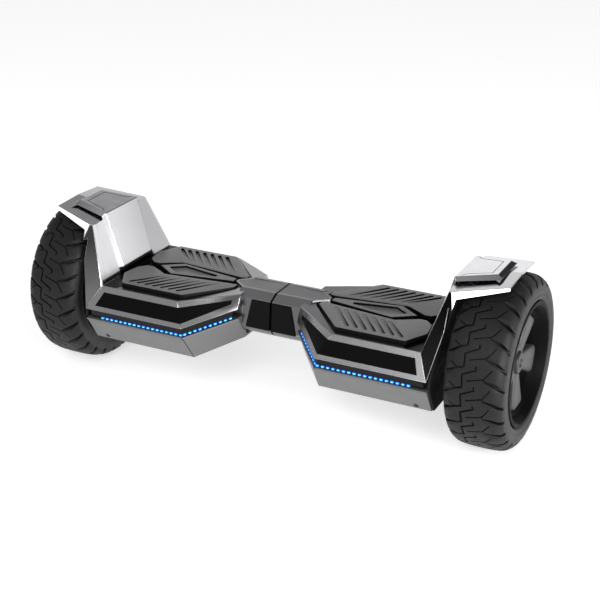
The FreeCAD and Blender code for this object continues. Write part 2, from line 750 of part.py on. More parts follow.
def upslope():
    rise = mirror_y(DECK_LINE[2]) - mirror_y(BEZEL_LINE[2])
    rise.x = 0
    rise.normalize()
    return rise


# ---- build -------------------------------------------------------------------------------------
def half_parts(side):
    """Sub-parts of one half, drawn on the +X side."""
    rear_insert = flip_y(face_insert())
    socket_inner = TUBE_R + (BUSH_CLEARANCE + BUSH_WALL if side == "right" else 0)
    upper = upper_casing()
    if side == "left":
        for x, r in ((BUTTON_X, BUTTON_R), (PORT_X, PORT_R - 1)):
            rear_insert = rear_insert.cut(on_rear(x, r + 0.25, -14, 6))
            upper = upper.cut(on_rear(x, r + 0.25, -14, 6))
    return {
        "upper_casing": upper,
        "lower_casing": lower_casing(),
        "casing_screws": casing_screws(),
        "front_insert": face_insert(),
        "rear_insert": rear_insert,
        "channel_bar": channel_bar(),
        "front_leds": leds(),
        "neck_top_panel": top_panel(),
        "neck_inserts": neck_inserts(),
        "fender_shell": fender_shell(),
        "fender_panel": fender_panel(),
        "wheel_liner": wheel_liner(),
        "front_pad": foot_pad(True),
        "rear_pad": foot_pad(False),
        "deck_spear": spear(),
        "chassis": chassis(socket_inner),
        "axle_clamp": axle_clamp(),
        "axle": axle(),
        "stator": stator(),
        "sensor_board": sensor_board(),
        "motor_shell": motor_shell(),
        "motor_cover": motor_cover(),
        "tyre": tyre(),
        "wheel_cover": wheel_cover(),
        "hub_cap": hub_cap(),
    }


def centre_parts():
    """Parts that exist once. The tube is fixed in the left chassis and turns in the right one."""
    left = {"battery_pack": battery_pack(), "power_button": power_button(),
            "charge_port": charge_port(), "charge_cap": charge_cap()}
    parts = {name: shape.mirror(V(0, 0, 0), X) for name, shape in left.items()}
    parts["main_board"] = main_board()
    parts["swivel_tube"] = tube(TUBE_R, TUBE_R - 3, -TUBE_END, BUSH_END + 6)
    bore = TUBE_R + BUSH_CLEARANCE
    parts["swivel_bush"] = tube(bore + BUSH_WALL, bore, 8, BUSH_END)
    parts["retaining_ring"] = tube(TUBE_R + 3, TUBE_R, BUSH_END + 1, BUSH_END + 3)
    parts["cable_harness"] = rod(5.5, -68, BUSH_END + 14)
    return parts


def main():
    os.makedirs("parts", exist_ok=True)
    parts = centre_parts()
    for side in ("left", "right"):
        for name, shape in half_parts(side).items():
            parts[side + "_" + name] = shape if side == "right" else shape.mirror(V(0, 0, 0), X)
    for name, shape in parts.items():
        shape.exportStep("parts/%s.step" % name)


main()
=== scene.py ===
import bpy
import bmesh
import json
import math
from mathutils import Matrix, Vector
from mathutils.geometry import delaunay_2d_cdt


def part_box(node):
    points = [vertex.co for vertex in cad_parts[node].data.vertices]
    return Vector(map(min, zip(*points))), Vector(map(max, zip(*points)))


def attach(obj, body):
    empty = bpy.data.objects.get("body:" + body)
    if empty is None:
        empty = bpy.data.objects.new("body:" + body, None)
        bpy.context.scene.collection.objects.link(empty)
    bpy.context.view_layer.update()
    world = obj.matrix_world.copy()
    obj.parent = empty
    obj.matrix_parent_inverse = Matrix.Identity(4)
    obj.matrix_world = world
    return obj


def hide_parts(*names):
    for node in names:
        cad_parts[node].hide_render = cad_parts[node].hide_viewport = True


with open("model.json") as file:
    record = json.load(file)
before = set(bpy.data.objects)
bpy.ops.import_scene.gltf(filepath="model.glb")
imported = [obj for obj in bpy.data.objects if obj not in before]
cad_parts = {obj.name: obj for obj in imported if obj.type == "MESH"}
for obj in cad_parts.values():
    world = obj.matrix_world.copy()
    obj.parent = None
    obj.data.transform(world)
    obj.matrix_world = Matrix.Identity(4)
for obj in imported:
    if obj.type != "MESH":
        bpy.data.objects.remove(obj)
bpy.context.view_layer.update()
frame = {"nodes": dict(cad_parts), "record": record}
NODES = frame["nodes"]
BODIES = frame["record"]["behaviour"]["bodies"]
BODY_OF = {node: body for body, members in BODIES.items() for node in members}
JOINTS = {joint["name"]: joint for joint in frame["record"]["behaviour"]["joints"]}
AXLE_Z = JOINTS["centre_swivel"]["pos_m"][2]
SIDES = {"left": -1.0, "right": 1.0}
MM = 0.001
SHORT_EDGE = 0.0012       # shorter edges are left sharp
WELD = 2e-6               # corners closer than this are one corner
scene = bpy.context.scene


# ---- materials ----
class Graph:
    """A node material under construction, with a Principled shader at its end."""

    def __init__(self, name):
        self.mat = bpy.data.materials.new(name)
        self.mat.use_nodes = True
        self.nodes = self.mat.node_tree.nodes
        self.nodes.clear()
        out = self.nodes.new("ShaderNodeOutputMaterial")
        self.bsdf = self.nodes.new("ShaderNodeBsdfPrincipled")
        self.join(self.bsdf.outputs["BSDF"], out.inputs["Surface"])
        self.coords = self.nodes.new("ShaderNodeTexCoord")

    def join(self, source, target):
        self.mat.node_tree.links.new(source, target)

    def set(self, **values):
        for key, value in values.items():
            socket = self.bsdf.inputs[key.replace("_", " ")]
            if hasattr(value, "is_output"):
                self.join(value, socket)
            else:
                socket.default_value = value

    def place(self, stretch, turn):
        mapping = self.nodes.new("ShaderNodeMapping")
        mapping.inputs["Scale"].default_value = stretch
        mapping.inputs["Rotation"].default_value = turn
        self.join(self.coords.outputs["Object"], mapping.inputs["Vector"])
        return mapping.outputs["Vector"]

    def noise(self, scale, detail=3.0, rough=0.5, at=None):
        tex = self.nodes.new("ShaderNodeTexNoise")
        tex.inputs["Scale"].default_value = scale
        tex.inputs["Detail"].default_value = detail
        tex.inputs["Roughness"].default_value = rough
        self.join(at or self.coords.outputs["Object"], tex.inputs["Vector"])
        return tex.outputs["Fac"]

    def cells(self, scale):
        tex = self.nodes.new("ShaderNodeTexVoronoi")
        tex.inputs["Scale"].default_value = scale
        self.join(self.coords.outputs["Object"], tex.inputs["Vector"])
        return tex.outputs["Distance"]

    def fit(self, value, low, high, to_low, to_high, smooth=False):
        node = self.nodes.new("ShaderNodeMapRange")
        if smooth:
            node.interpolation_type = "SMOOTHSTEP"
        for socket, number in zip(node.inputs[1:5], (low, high, to_low, to_high)):
            socket.default_value = number
        self.join(value, node.inputs["Value"])
        return node.outputs["Result"]

    def math(self, kind, a, b=None):
        node = self.nodes.new("ShaderNodeMath")
        node.operation = kind
        for socket, value in zip(node.inputs, (a, b)):
            if hasattr(value, "is_output"):
                self.join(value, socket)
            elif value is not None:
                socket.default_value = value
        return node.outputs[0]

    def blend(self, factor, a, b):
        node = self.nodes.new("ShaderNodeMix")
        node.data_type = "RGBA"
        for socket, value in ((node.inputs[0], factor), (node.inputs[6], a), (node.inputs[7], b)):
            if hasattr(value, "is_output"):
                self.join(value, socket)
            else:
                socket.default_value = value
        return node.outputs[2]

    def axis(self, what, letter):
        node = self.nodes.new("ShaderNodeSeparateXYZ")
        self.join(self.coords.outputs[what], node.inputs[0])
        return node.outputs[letter]

    def span(self, what, letter):
        """Absolute value of one coordinate."""
        return self.math("ABSOLUTE", self.axis(what, letter))

    def rise(self, value, low, high):
        """0 at low and below, 1 at high and above."""
        return self.fit(value, low, high, 0, 1)

    def fall(self, value, low, high):
        return self.fit(value, low, high, 1, 0)

    def plus(self, a, b):
        return self.math("ADD", a, b)

    def times(self, a, b):
        return self.math("MULTIPLY", a, b)

    def most(self, a, b):
        return self.math("MAXIMUM", a, b)

    def mark(self, name):
        node = self.nodes.new("ShaderNodeAttribute")
        node.attribute_name = name
        return node.outputs["Fac"]

    def bump(self, height, strength, depth, over=None):
        node = self.nodes.new("ShaderNodeBump")
        node.inputs["Strength"].default_value = strength
        node.inputs["Distance"].default_value = depth
        self.join(height, node.inputs["Height"])
        if over is not None:
            self.join(over, node.inputs["Normal"])
        return node.outputs["Normal"]


def grey(value, tint=(1.0, 1.0, 1.0)):
    return tuple(value * t for t in tint) + (1.0,)


def metal(name, shade, rough, metallic=1.0, tint=(1.0, 1.0, 1.02), mask=None, dark=0.02,
          fade=1.0, hair=0.03, cloud=0.17):
    """Plated or painted metal look: cloudy tone, hairlines in the polish and a faint orange peel.

    mask picks out places painted dark, whose tone is dark, or a pair for low and high places: a dark finish
    in some masks, painted shade and painted reflection in others. fade darkens the upright plating
    towards the back as painted shade."""
    g = Graph(name)
    tone = g.noise(14, 4)
    colour = g.blend(tone, grey(shade * 0.93, tint), grey(shade * 1.06, tint))
    streaks = g.noise(900, 2, at=g.place((1, 0.03, 0.2), (0.2, 0.1, 0.5)))
    gloss = g.plus(g.fit(g.noise(60, 2), 0.3, 0.7, rough * (1 - cloud), rough * (1 + cloud)),
                   g.fit(streaks, 0.60, 0.80, 0.0, hair))
    # Painted shade: the upright plating is darker towards the back.
    if fade != 1.0:
        back = g.rise(g.axis("Object", "Y"), -0.04, 0.045)
        upright = g.fall(g.axis("Normal", "Z"), 0.6, 0.8)
        colour = g.blend(g.times(back, upright), colour, grey(shade * fade, tint))
    # Masked places are painted dark, from the low tone to the high tone as z climbs: painted shade and
    # painted reflection for some masks.
    if mask:
        where = mask(g)
        low, high = dark if isinstance(dark, tuple) else (dark, dark)
        climb = g.rise(g.axis("Object", "Z"), 0.12, 0.19)
        colour = g.blend(where, colour, g.blend(climb, grey(low, tint), grey(high, tint)))
    peel = g.bump(g.noise(260, 2), 0.015, 0.00003)
    g.set(Base_Color=colour, Metallic=metallic, Roughness=gloss, Normal=peel)
    return g.mat


def plastic(name, shade, rough, grain=1500.0, depth=0.00004, tint=(1.0, 1.0, 1.0), specular=0.5,
            side=None, metallic=0.0, shade_mark=None):
    """Moulded plastic: fine texture, uneven sheen, and optionally upright walls painted darker as shade.

    An attribute named by the last argument marks deep areas, which are painted nearly black as shade."""
    g = Graph(name)
    tone = g.noise(30, 5, 0.6)
    colour = g.blend(tone, grey(shade * 0.88, tint), grey(shade * 1.12, tint))
    # Painted shade: upright walls darker than the top.
    if side is not None:
        wall = g.fit(g.axis("Normal", "Z"), 0.55, 0.9, 1.0, 0.0, smooth=True)
        colour = g.blend(wall, colour, grey(side, tint))
        specular = g.fit(wall, 0, 1, specular, 0.06)
        metallic = g.fit(wall, 0, 1, metallic, 0.0)
    # Painted shade: marked deep areas nearly black.
    if shade_mark:
        deep = g.mark(shade_mark)
        colour = g.blend(deep, colour, grey(shade * 0.06, tint))
        specular = g.fit(deep, 0, 1, specular, 0.02)
    gloss = g.fit(g.noise(90, 5), 0.25, 0.75, rough * 0.85, rough * 1.18)
    skin = g.bump(g.cells(grain), 0.35, depth)
    g.set(Base_Color=colour, Roughness=gloss, Normal=g.bump(g.noise(250, 3), 0.1, 0.00008, skin),
          Specular_IOR_Level=specular, Metallic=metallic)
    return g.mat


def rubber(name, shade, rough, wall=None):
    """Rubber: dusty mottling and mould grain. A tyre is paler on its sidewalls, and its groove floors are
    painted dark as shade.
    """
    g = Graph(name)
    dust = g.rise(g.noise(45, 6, 0.7), 0.35, 0.75)
    colour = g.blend(dust, grey(shade * 0.75), grey(shade * 1.35, (1.0, 0.99, 0.97)))
    if wall is not None:
        y, z = g.axis("Object", "Y"), g.plus(g.axis("Object", "Z"), -AXLE_Z)
        radius = g.math("SQRT", g.plus(g.times(y, y), g.times(z, z)))
        colour = g.blend(g.fit(radius, 0.0945, 0.0985, 1, 0, smooth=True), colour,
                         g.blend(dust, grey(wall * 0.8), grey(wall * 1.2)))
        # Painted shade: groove floors darker by the groove mark.
        colour = g.blend(g.rise(g.mark("groove"), 0.1, 0.7), colour, grey(shade * 0.25))
    gloss = g.fit(g.noise(160, 4), 0.3, 0.7, rough * 0.9, min(1.0, rough * 1.12))
    grain = g.bump(g.noise(1400, 3, 0.7), 0.4, 0.00012)
    g.set(Base_Color=colour, Roughness=gloss, Normal=g.bump(g.noise(210, 3), 0.25, 0.0002, grain),
          Specular_IOR_Level=0.28)
    return g.mat


def lit(name):
    """Lens over a light-emitting diode, brightest at its crown."""
    g = Graph(name)
    hot = g.fit(g.mark("core"), 0.45, 1.0, 0.0, 1.0, smooth=True)
    flicker = g.fit(g.noise(110, 1), 0.35, 0.65, 0.8, 1.15)
    colour = g.blend(hot, (0.0, 0.09, 0.55, 1), (0.10, 0.50, 1.0, 1))
    glow = g.times(g.fit(hot, 0, 1, 1.2, 3.0), flicker)
    g.set(Base_Color=(0.01, 0.06, 0.2, 1), Roughness=0.15, Emission_Color=colour, Emission_Strength=glow)
    return g.mat


# Each mask is 1 where the colour is painted dark: a dark finish in some masks, painted shade and painted
# reflection in others. Both halves share a mask, so it reads |x| and |y|, in metres.
MOULDING_START = 0.150              # |x| where the deck's black moulding begins
MOULDING_STEP = (0.195, 0.201)      # |x| where it widens
MOULDING_HALF = (0.0737, 0.0812)    # its half width on either side of that
NECK_PANEL_END = 0.0415             # |x| where the smoked part of the neck ends
CREST_END = 0.082
CREST_NORMAL = (0.58, 0.72, 0.37)   # of the skirts beside the crest
PANEL_BED = (0.0441, 0.2969)        # |y| and |x| where the bed of the raised panel ends
BED_DEPTH = (0.0001, 0.0022)        # below the fender's own planes
LOWER_CORNER = (0.0882, 0.061, 0.1073)    # |x| and z of the lower corner, and the slope of |x| over z


def deck_mask(g):
    """Black moulding on the deck between the pads and the fender, the darkened faces at the neck, and
    painted shade on the crest's skirts.
    """
    flat = g.rise(g.axis("Normal", "Z"), 0.97, 0.995)
    x, y = g.span("Object", "X"), g.span("Object", "Y")
    reach = g.fit(x, *MOULDING_STEP, *MOULDING_HALF)
    away = g.rise(x, MOULDING_START, MOULDING_START + 0.0005)
    middle = g.fall(g.math("SUBTRACT", y, reach), 0.0, 0.0004)
    black = g.times(g.times(flat, away), middle)
    # The neck's darkened faces and the crest's painted shade.
    neck = g.most(neck_mask(g), crest_shade_mask(g))
    return g.most(g.most(black, seam_mask(g)), neck)


def crest_shade_mask(g):
    """Painted shade on the skirts of the crest beside the neck, which slope forward and sideways; it dims
    the reflection they catch.
    """
    across, along = (g.span("Normal", letter) for letter in "XY")
    lean = g.plus(g.times(across, CREST_NORMAL[0]), g.times(along, CREST_NORMAL[1]))
    lean = g.plus(lean, g.times(g.axis("Normal", "Z"), CREST_NORMAL[2]))
    high = g.fit(g.axis("Object", "Z"), 0.122, 0.127, 0, 0.62)
    near = g.fall(g.span("Object", "X"), CREST_END - 0.002, CREST_END + 0.002)
    return g.times(g.times(g.rise(lean, 0.965, 0.985), high), near)


def seam_mask(g):
    """The faces inside the slot between the two halves."""
    return g.fall(g.span("Object", "X"), 0.0013, 0.0015)


def neck_mask(g):
    """Darker colour round the black panels on the neck's sides, on faces that look forward and back."""
    near = g.fall(g.span("Object", "X"), NECK_PANEL_END - 0.001, NECK_PANEL_END + 0.001)
    upright = g.fit(g.span("Normal", "Y"), 0.90, 0.94, 0, 0.72)
    return g.times(near, upright)


def lower_mask(g):
    """Dark lines of the lower casing."""
    return g.most(corner_line(g), seam_mask(g))


def cheek_reflection_mask(g):
    """Painted dark reflection on the fender's cheeks, which face forward and inboard."""
    inboard = g.times(g.axis("Normal", "X"), g.math("SIGN", g.axis("Object", "X")))
    facing = g.fall(inboard, -0.2, -0.1)
    across = g.rise(g.span("Normal", "Y"), 0.75, 0.82)
    return g.times(facing, across)


def below_plane(g, point, normal, near, far):
    """1 where a surface lies between two depths under a plane, given in |x| and z."""
    x = g.plus(g.span("Object", "X"), -point[0])
    z = g.plus(g.axis("Object", "Z"), -point[1])
    height = g.plus(g.times(x, normal[0]), g.times(z, normal[1]))
    under = g.fall(height, -near, -near + 0.0001)
    return g.times(under, g.rise(height, -far, -far + 0.0001))


def fender_mask(g):
    """Darkened parts of the fender: a painted dark reflection on the cheeks, painted shade on the bed of the
    raised panel, and the slot at its foot.
    """
    half, end = PANEL_BED
    inner = g.times(g.fall(g.span("Object", "Y"), half - 0.0001, half + 0.0001),
                    g.fall(g.span("Object", "X"), end - 0.0001, end + 0.0001))
    # Painted shade on the bed round the raised panel, on the wall and on the roof.
    wall = g.times(inner, below_plane(g, (0.2206, 0.1368), (-0.958, 0.286), *BED_DEPTH))
    roof = g.times(inner, below_plane(g, (0.244, 0.2153), (-0.137, 0.990), *BED_DEPTH))
    foot = g.times(g.fall(g.axis("Object", "Z"), 0.1459, 0.1461),
                   g.fall(g.span("Object", "Y"), 0.0395, 0.0398))
    return g.most(g.most(cheek_reflection_mask(g), foot), g.most(wall, roof))


def panel_shade_and_line_mask(g):
    """Painted shade on the raised panel: black on its outer end, bevels along the roof, rear edge and fold;
    also the roof line.
    """
    outboard = g.times(g.axis("Normal", "X"), g.math("SIGN", g.axis("Object", "X")))
    end = g.rise(outboard, 0.30, 0.36)
    upright = g.rise(g.axis("Normal", "Z"), 0.5, 0.56)
    edge = g.fit(g.span("Normal", "Y"), 0.22, 0.28, 0, 0.45)
    wall = g.math("SUBTRACT", 1.0, upright)
    rear = g.rise(g.axis("Normal", "Y"), 0.22, 0.28)
    fold = g.rise(g.axis("Object", "Z"), 0.2174, 0.2175)
    # Painted shade on the outer end, the roof's side bevels, the rear walls and the fold.
    dark = g.most(end, g.times(upright, edge))
    dark = g.most(dark, g.times(wall, g.most(rear, fold)))
    return g.most(dark, g.mark("line"))


def corner_line(g):
    """Parting line of the lower moulding, where its front turns the corner."""
    x, z = g.span("Object", "X"), g.axis("Object", "Z")
    foot_x, foot_z, slope = LOWER_CORNER
    line = g.plus(g.times(g.plus(z, -foot_z), slope), foot_x)
    off = g.math("ABSOLUTE", g.math("SUBTRACT", x, line))
    upright = g.rise(g.axis("Normal", "Z"), -0.8, -0.7)
    return g.times(g.fall(off, 0.0004, 0.0006), upright)


MATERIALS = {
    "silver_shell": metal("silver_shell", 0.38, 0.24, mask=deck_mask, dark=0.012, hair=0.0, cloud=0.06),
    "silver_lower": metal("silver_lower", 0.15, 0.36, metallic=0.45, mask=lower_mask, dark=0.004),
    # The fender and panel paint shade and reflection through their masks, the fender's low and high tones
    # and both fades.
    "chrome_fender": metal("chrome_fender", 0.86, 0.16, mask=fender_mask, dark=(0.045, 0.012), fade=0.62),
    "chrome_panel": metal("chrome_panel", 0.88, 0.18, mask=panel_shade_and_line_mask, dark=0.012, fade=0.66),
    "grey_panel": metal("grey_panel", 0.21, 0.34, metallic=0.5),
    "dark_steel": metal("dark_steel", 0.008, 0.4, metallic=0.6),
    "bright_steel": metal("bright_steel", 0.55, 0.25),
    "winding_steel": metal("winding_steel", 0.30, 0.45, tint=(1.0, 0.85, 0.7)),
    "cast_alloy": metal("cast_alloy", 0.45, 0.5),
    "gloss_black": plastic("gloss_black", 0.003, 0.14, 700, 0.00001, specular=0.07),
    "channel_black": plastic("channel_black", 0.004, 0.3, specular=0.2),
    "matt_black": plastic("matt_black", 0.006, 0.6, specular=0.2),
    "board_green": plastic("board_green", 0.05, 0.4, tint=(0.3, 1.0, 0.5)),
    # The dish is painted nearly black as shade.
    "rim_black": plastic("rim_black", 0.002, 0.5, specular=0.05),
    "cover_black": plastic("cover_black", 0.045, 0.42, specular=0.4, shade_mark="dish"),
    "cap_black": plastic("cap_black", 0.018, 0.38, specular=0.35),
    # Upright walls painted near black as shade.
    "pad_grey": plastic("pad_grey", 0.20, 0.36, 1300, side=0.004, metallic=0.2),
    "battery_wrap": plastic("battery_wrap", 0.05, 0.35, tint=(0.4, 0.6, 1.0)),
    "button_black": plastic("button_black", 0.012, 0.3),
    "port_black": plastic("port_black", 0.012, 0.4),
    "cap_rubber": rubber("cap_rubber", 0.02, 0.7),
    "bush_white": plastic("bush_white", 0.7, 0.4),
    "cable_black": rubber("cable_black", 0.02, 0.6),
    "tyre_rubber": rubber("tyre_rubber", 0.006, 0.55, wall=0.024),
    "led_blue": lit("led_blue"),
}


# ---- mesh helpers ----
def fix_winding(verts, faces):
    """Turns all faces outward."""
    bm = bmesh.new()
    made = [bm.verts.new(v) for v in verts]
    for f in faces:
        bm.faces.new([made[i] for i in f])
    bmesh.ops.recalc_face_normals(bm, faces=bm.faces)
    bm.verts.index_update()
    out = [tuple(v.index for v in f.verts) for f in bm.faces]
    bm.free()
    return out


def add_piece(name, verts, faces, slot, node, sharp=35.0):
    """Makes an object from points and faces."""
    mesh = bpy.data.meshes.new(name)
    mesh.from_pydata([tuple(v) for v in verts], [], fix_winding(verts, faces))
    mesh.validate()
    return finish_piece(name, mesh, slot, node, sharp)


def finish_bmesh(node, bm, slot, sharp=35.0):
    """Makes the fine object of a node from a bmesh, and frees it."""
    mesh = bpy.data.meshes.new(node + "_fine")
    bm.to_mesh(mesh)
    bm.free()
    return finish_piece(node + "_fine", mesh, slot, node, sharp)


def finish_piece(name, mesh, slot, node, sharp):
    """An object with its finish, riding on and standing for a CAD node. sharp is in degrees."""
    obj = bpy.data.objects.new(name, mesh)
    scene.collection.objects.link(obj)
    mesh.materials.clear()
    mesh.materials.append(MATERIALS[slot])
    mesh.shade_smooth()
    mesh.set_sharp_from_angle(angle=math.radians(sharp))
    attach(obj, BODY_OF[node])
    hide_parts(node)
    return obj


def mark_points(obj, name, values):
    """Stores a value for each point, for a material to read."""
    layer = obj.data.attributes.new(name, "FLOAT", "POINT")
    layer.data.foreach_set("value", values)


def slot_of(node):
    """Material slot that the CAD gives a node."""
    return NODES[node].data.materials[0].name.split(".")[0]


def bridge(bm, rings):
    """Joins closed rings of the same number of points, one after the other."""
    for near, far in zip(rings, rings[1:]):
        for k in range(len(near)):
            m = (k + 1) % len(near)
            bm.faces.new((near[k], near[m], far[m], far[k]))


def quads(rings, count, first=0):
    """Faces between rings of count points each, numbered one after the other."""
    faces = []
    for i in range(rings - 1):
        a, b = first + i * count, first + (i + 1) * count
        for k in range(count):
            m = (k + 1) % count
            faces.append((a + k, a + m, b + m, b + k))
    return faces


def mitre(pts, i, closed=False):
    """Direction across a line at its point i, and the cosine of half the bend there."""
    before = pts[i] - pts[i - 1] if i or closed else pts[1] - pts[0]
    after = pts[(i + 1) % len(pts)] - pts[i] if i < len(pts) - 1 or closed else before
    d0, d1 = before.normalized(), after.normalized()
    n0, n1 = Vector((-d0.y, d0.x)), Vector((-d1.y, d1.x))
    n = (n0 + n1).normalized()
    return n, n.dot(n0)


def cad_bmesh(node):
    """The node's mesh with its triangles joined back into whole faces."""
    bm = bmesh.new()
    bm.from_mesh(NODES[node].data)
    bmesh.ops.remove_doubles(bm, verts=bm.verts, dist=WELD)
    bmesh.ops.dissolve_limit(bm, angle_limit=math.radians(0.03), verts=bm.verts, edges=bm.edges)
    bmesh.ops.recalc_face_normals(bm, faces=bm.faces)
    return bm


# The casing's feature lines on the front of the right half, in millimetres: from the neck to
# the corner, and on to the fender.
DECK_LINE = [(42, -36, 141.5), (108, -82, 136.8), (220.6, -82, 136.8)]
BEZEL_LINE = [(42, -45, 123.5), (92.4, -101.6, 109.1), (235.7, -101.6, 109.1)]
LEDGE_LINE = [(42, -43.5, 111.0), (92.0, -100.0, 96.4), (236, -100.0, 96.4)]
FLOOR_LINE = [(42, -25.5, 77.6), (88.2, -78.4, 61), (236, -78.4, 61)]
FEATURE_LINES = [DECK_LINE, BEZEL_LINE, LEDGE_LINE, FLOOR_LINE,
                 [DECK_LINE[1], BEZEL_LINE[1]], [LEDGE_LINE[1], FLOOR_LINE[1]]]
FLARES = [DECK_LINE[:2] + BEZEL_LINE[:2], LEDGE_LINE[:2] + FLOOR_LINE[:2]]


def on_feature_line(point):
    """Whether a point of either half, front or back, lies on one of the lines."""
    p = Vector((abs(point.x), -abs(point.y), point.z)) / MM
    for line in FEATURE_LINES:
        for a, b in zip(line, line[1:]):
            start, run = Vector(a), Vector(b) - Vector(a)
            t = max(0.0, min(1.0, (p - start).dot(run) / run.length_squared))
            if (p - start - run * t).length < 0.08:
                return True
    return False


def flare_normal(point, normal):
    """Normal of the twisted band that a point lies on, or None if it lies on no band.

    The band is spanned by its four corners, and u and v are the place on it, found by iteration."""
    flip = Vector((math.copysign(1, point.x), -math.copysign(1, point.y), 1))
    p, n = point * flip / MM, normal * flip
    for corners in FLARES:
        a0, a1, b0, b1 = (Vector(c) for c in corners)
        u, v = 0.5, 0.5
        for _ in range(12):
            top, low = a0.lerp(a1, u), b0.lerp(b1, u)
            v = (top.z - p.z) / (top.z - low.z)
            near, far = a0.x + (b0.x - a0.x) * v, a1.x + (b1.x - a1.x) * v
            u = (p.x - near) / (far - near)
        if not (-0.05 < u < 1.05 and -0.08 < v < 1.08):
            continue
        top, low = a0.lerp(a1, u), b0.lerp(b1, u)
        exact = (a1 - a0).lerp(b1 - b0, v).cross(low - top).normalized()
        if exact.y > 0:
            exact.negate()
        if exact.dot(n) > 0.97 and (p - top.lerp(low, v)).length < 3:
            return exact * flip
    return None


def smooth_flares(mesh):
    """Gives the twisted bands their true normals, so that they reflect without ripples."""
    normals = [Vector(c.vector) for c in mesh.corner_normals]
    for face in mesh.polygons:
        for k in face.loop_indices:
            exact = flare_normal(mesh.vertices[mesh.loops[k].vertex_index].co, face.normal)
            if exact:
                normals[k] = exact
    mesh.normals_split_custom_set(normals)


def refine_panel(node, width, pick):
    """A CAD node of flat and twisted faces with chosen edges rounded and the faces kept true."""
    bm = cad_bmesh(node)
    flat = bm.faces.layers.int.new("flat")
    for face in bm.faces:
        face[flat] = 1
    picked = []
    for edge in bm.edges:
        if len(edge.link_faces) == 2 and edge.calc_face_angle() > math.radians(12) and pick(edge):
            picked.append(edge)
    made = bmesh.ops.bevel(bm, geom=picked, offset=width * MM, offset_type="OFFSET", affect="EDGES",
                           segments=3, profile=0.5, clamp_overlap=False)
    for face in made["faces"]:
        face[flat] = 0
    bm.normal_update()
    normals = []
    for face in bm.faces:
        for loop in face.loops:
            if face[flat]:
                normals.append(flare_normal(loop.vert.co, face.normal) or face.normal.copy())
                continue
            beside = [f for f in loop.vert.link_faces if f[flat] and f.normal.dot(face.normal) > 0.8]
            if beside:
                best = max(beside, key=lambda f: f.normal.dot(face.normal))
                normals.append(flare_normal(loop.vert.co, best.normal) or best.normal.copy())
            else:
                rolled = [f.normal for f in loop.vert.link_faces if not f[flat]]
                normals.append(sum(rolled, Vector()).normalized())
    obj = finish_bmesh(node, bm, slot_of(node))
    obj.data.normals_split_custom_set(normals)


def casing_edge(edge):
    """Whether an edge is part of one of the casing's feature lines."""
    return all(on_feature_line(v.co) for v in edge.verts)


def clear_of_bed(edge):
    """Whether a fender edge is long and lies outside the opening for its raised panel."""
    half, end = PANEL_BED[0] - 0.0009, PANEL_BED[1] - 0.0001
    outside = all(abs(v.co.y) > half or abs(v.co.x) > end for v in edge.verts)
    return outside and edge.calc_length() > SHORT_EDGE


def raised_edge(edge):
    """Whether a fender panel's edge is on its proud side."""
    return edge.calc_length() > SHORT_EDGE and all(f.normal.z > -0.1 for f in edge.link_faces)


FOLD = 24.0               # degrees; a sharper fold is rounded or kept crisp


def refine(node, width, segments=2):
    """A CAD node with its edges rounded as the moulded or pressed part has them.

    With no width the edges stay, and only the twisted bands get their true normals."""
    bm = cad_bmesh(node)
    if not width:
        obj = finish_bmesh(node, bm, slot_of(node), FOLD)
        smooth_flares(obj.data)
        return
    weight = bm.edges.layers.float.new("bevel_weight_edge")
    for edge in bm.edges:
        if len(edge.link_faces) != 2 or edge.calc_length() < SHORT_EDGE:
            continue
        if edge.calc_face_angle() > math.radians(FOLD):
            edge[weight] = 1.0
    obj = finish_bmesh(node, bm, slot_of(node), FOLD)
    mod = obj.modifiers.new("edges", "BEVEL")
    mod.width = width * MM
    mod.segments = segments
    mod.limit_method = "WEIGHT"
    mod.use_clamp_overlap = False
    mod.harden_normals = True
    mod.miter_outer = "MITER_ARC"


def islands(node):
    """Corner points of each separate solid in a node."""
    bm = bmesh.new()
    bm.from_mesh(NODES[node].data)
    bmesh.ops.remove_doubles(bm, verts=bm.verts, dist=WELD)
    left = set(bm.verts)
    found = []
    while left:
        stack = [left.pop()]
        points = []
        while stack:
            v = stack.pop()
            points.append(v.co.copy())
            for e in v.link_edges:
                other = e.other_vert(v)
                if other in left:
                    left.remove(other)
                    stack.append(other)
        found.append(points)
    bm.free()
    return sorted(found, key=lambda pts: (round(min(p.x for p in pts), 5), min(p.y for p in pts)))


FILLET_STEPS = 4


def fillet(corners):
    """Closed outline through (x, y, radius) corners, each rounded by its radius."""
    points = [c[:2] for c in corners]
    out = []
    count = len(points)
    for i in range(count):
        here = Vector(points[i])
        before = Vector(points[i - 1]) - here
        after = Vector(points[(i + 1) % count]) - here
        radius = corners[i][2]
        turn = before.angle(after, math.pi)
        if radius <= 0 or turn > math.radians(177):
            out.append(tuple(here))
            continue
        reach = min(radius / math.tan(turn / 2), 0.48 * before.length, 0.48 * after.length)
        start = here + before.normalized() * reach
        end = here + after.normalized() * reach
        for k in range(FILLET_STEPS + 1):
            t = k / FILLET_STEPS
            out.append(tuple(start * (1 - t) ** 2 + here * 2 * t * (1 - t) + end * t ** 2))
    return out


def lathe(profile, centre_x, centre_z, count):
    """Closed ring turned about the axle from (x, radius) points in millimetres."""
    verts, faces = [], []
    rows = len(profile)
    for i in range(count):
        a = 2 * math.pi * i / count
        for x, r in profile:
            verts.append((centre_x + x * MM, -r * MM * math.cos(a), centre_z + r * MM * math.sin(a)))
    for i in range(count):
        j = (i + 1) % count
        for k in range(rows):
            m = (k + 1) % rows
            faces.append((i * rows + k, i * rows + m, j * rows + m, j * rows + k))
    return verts, faces


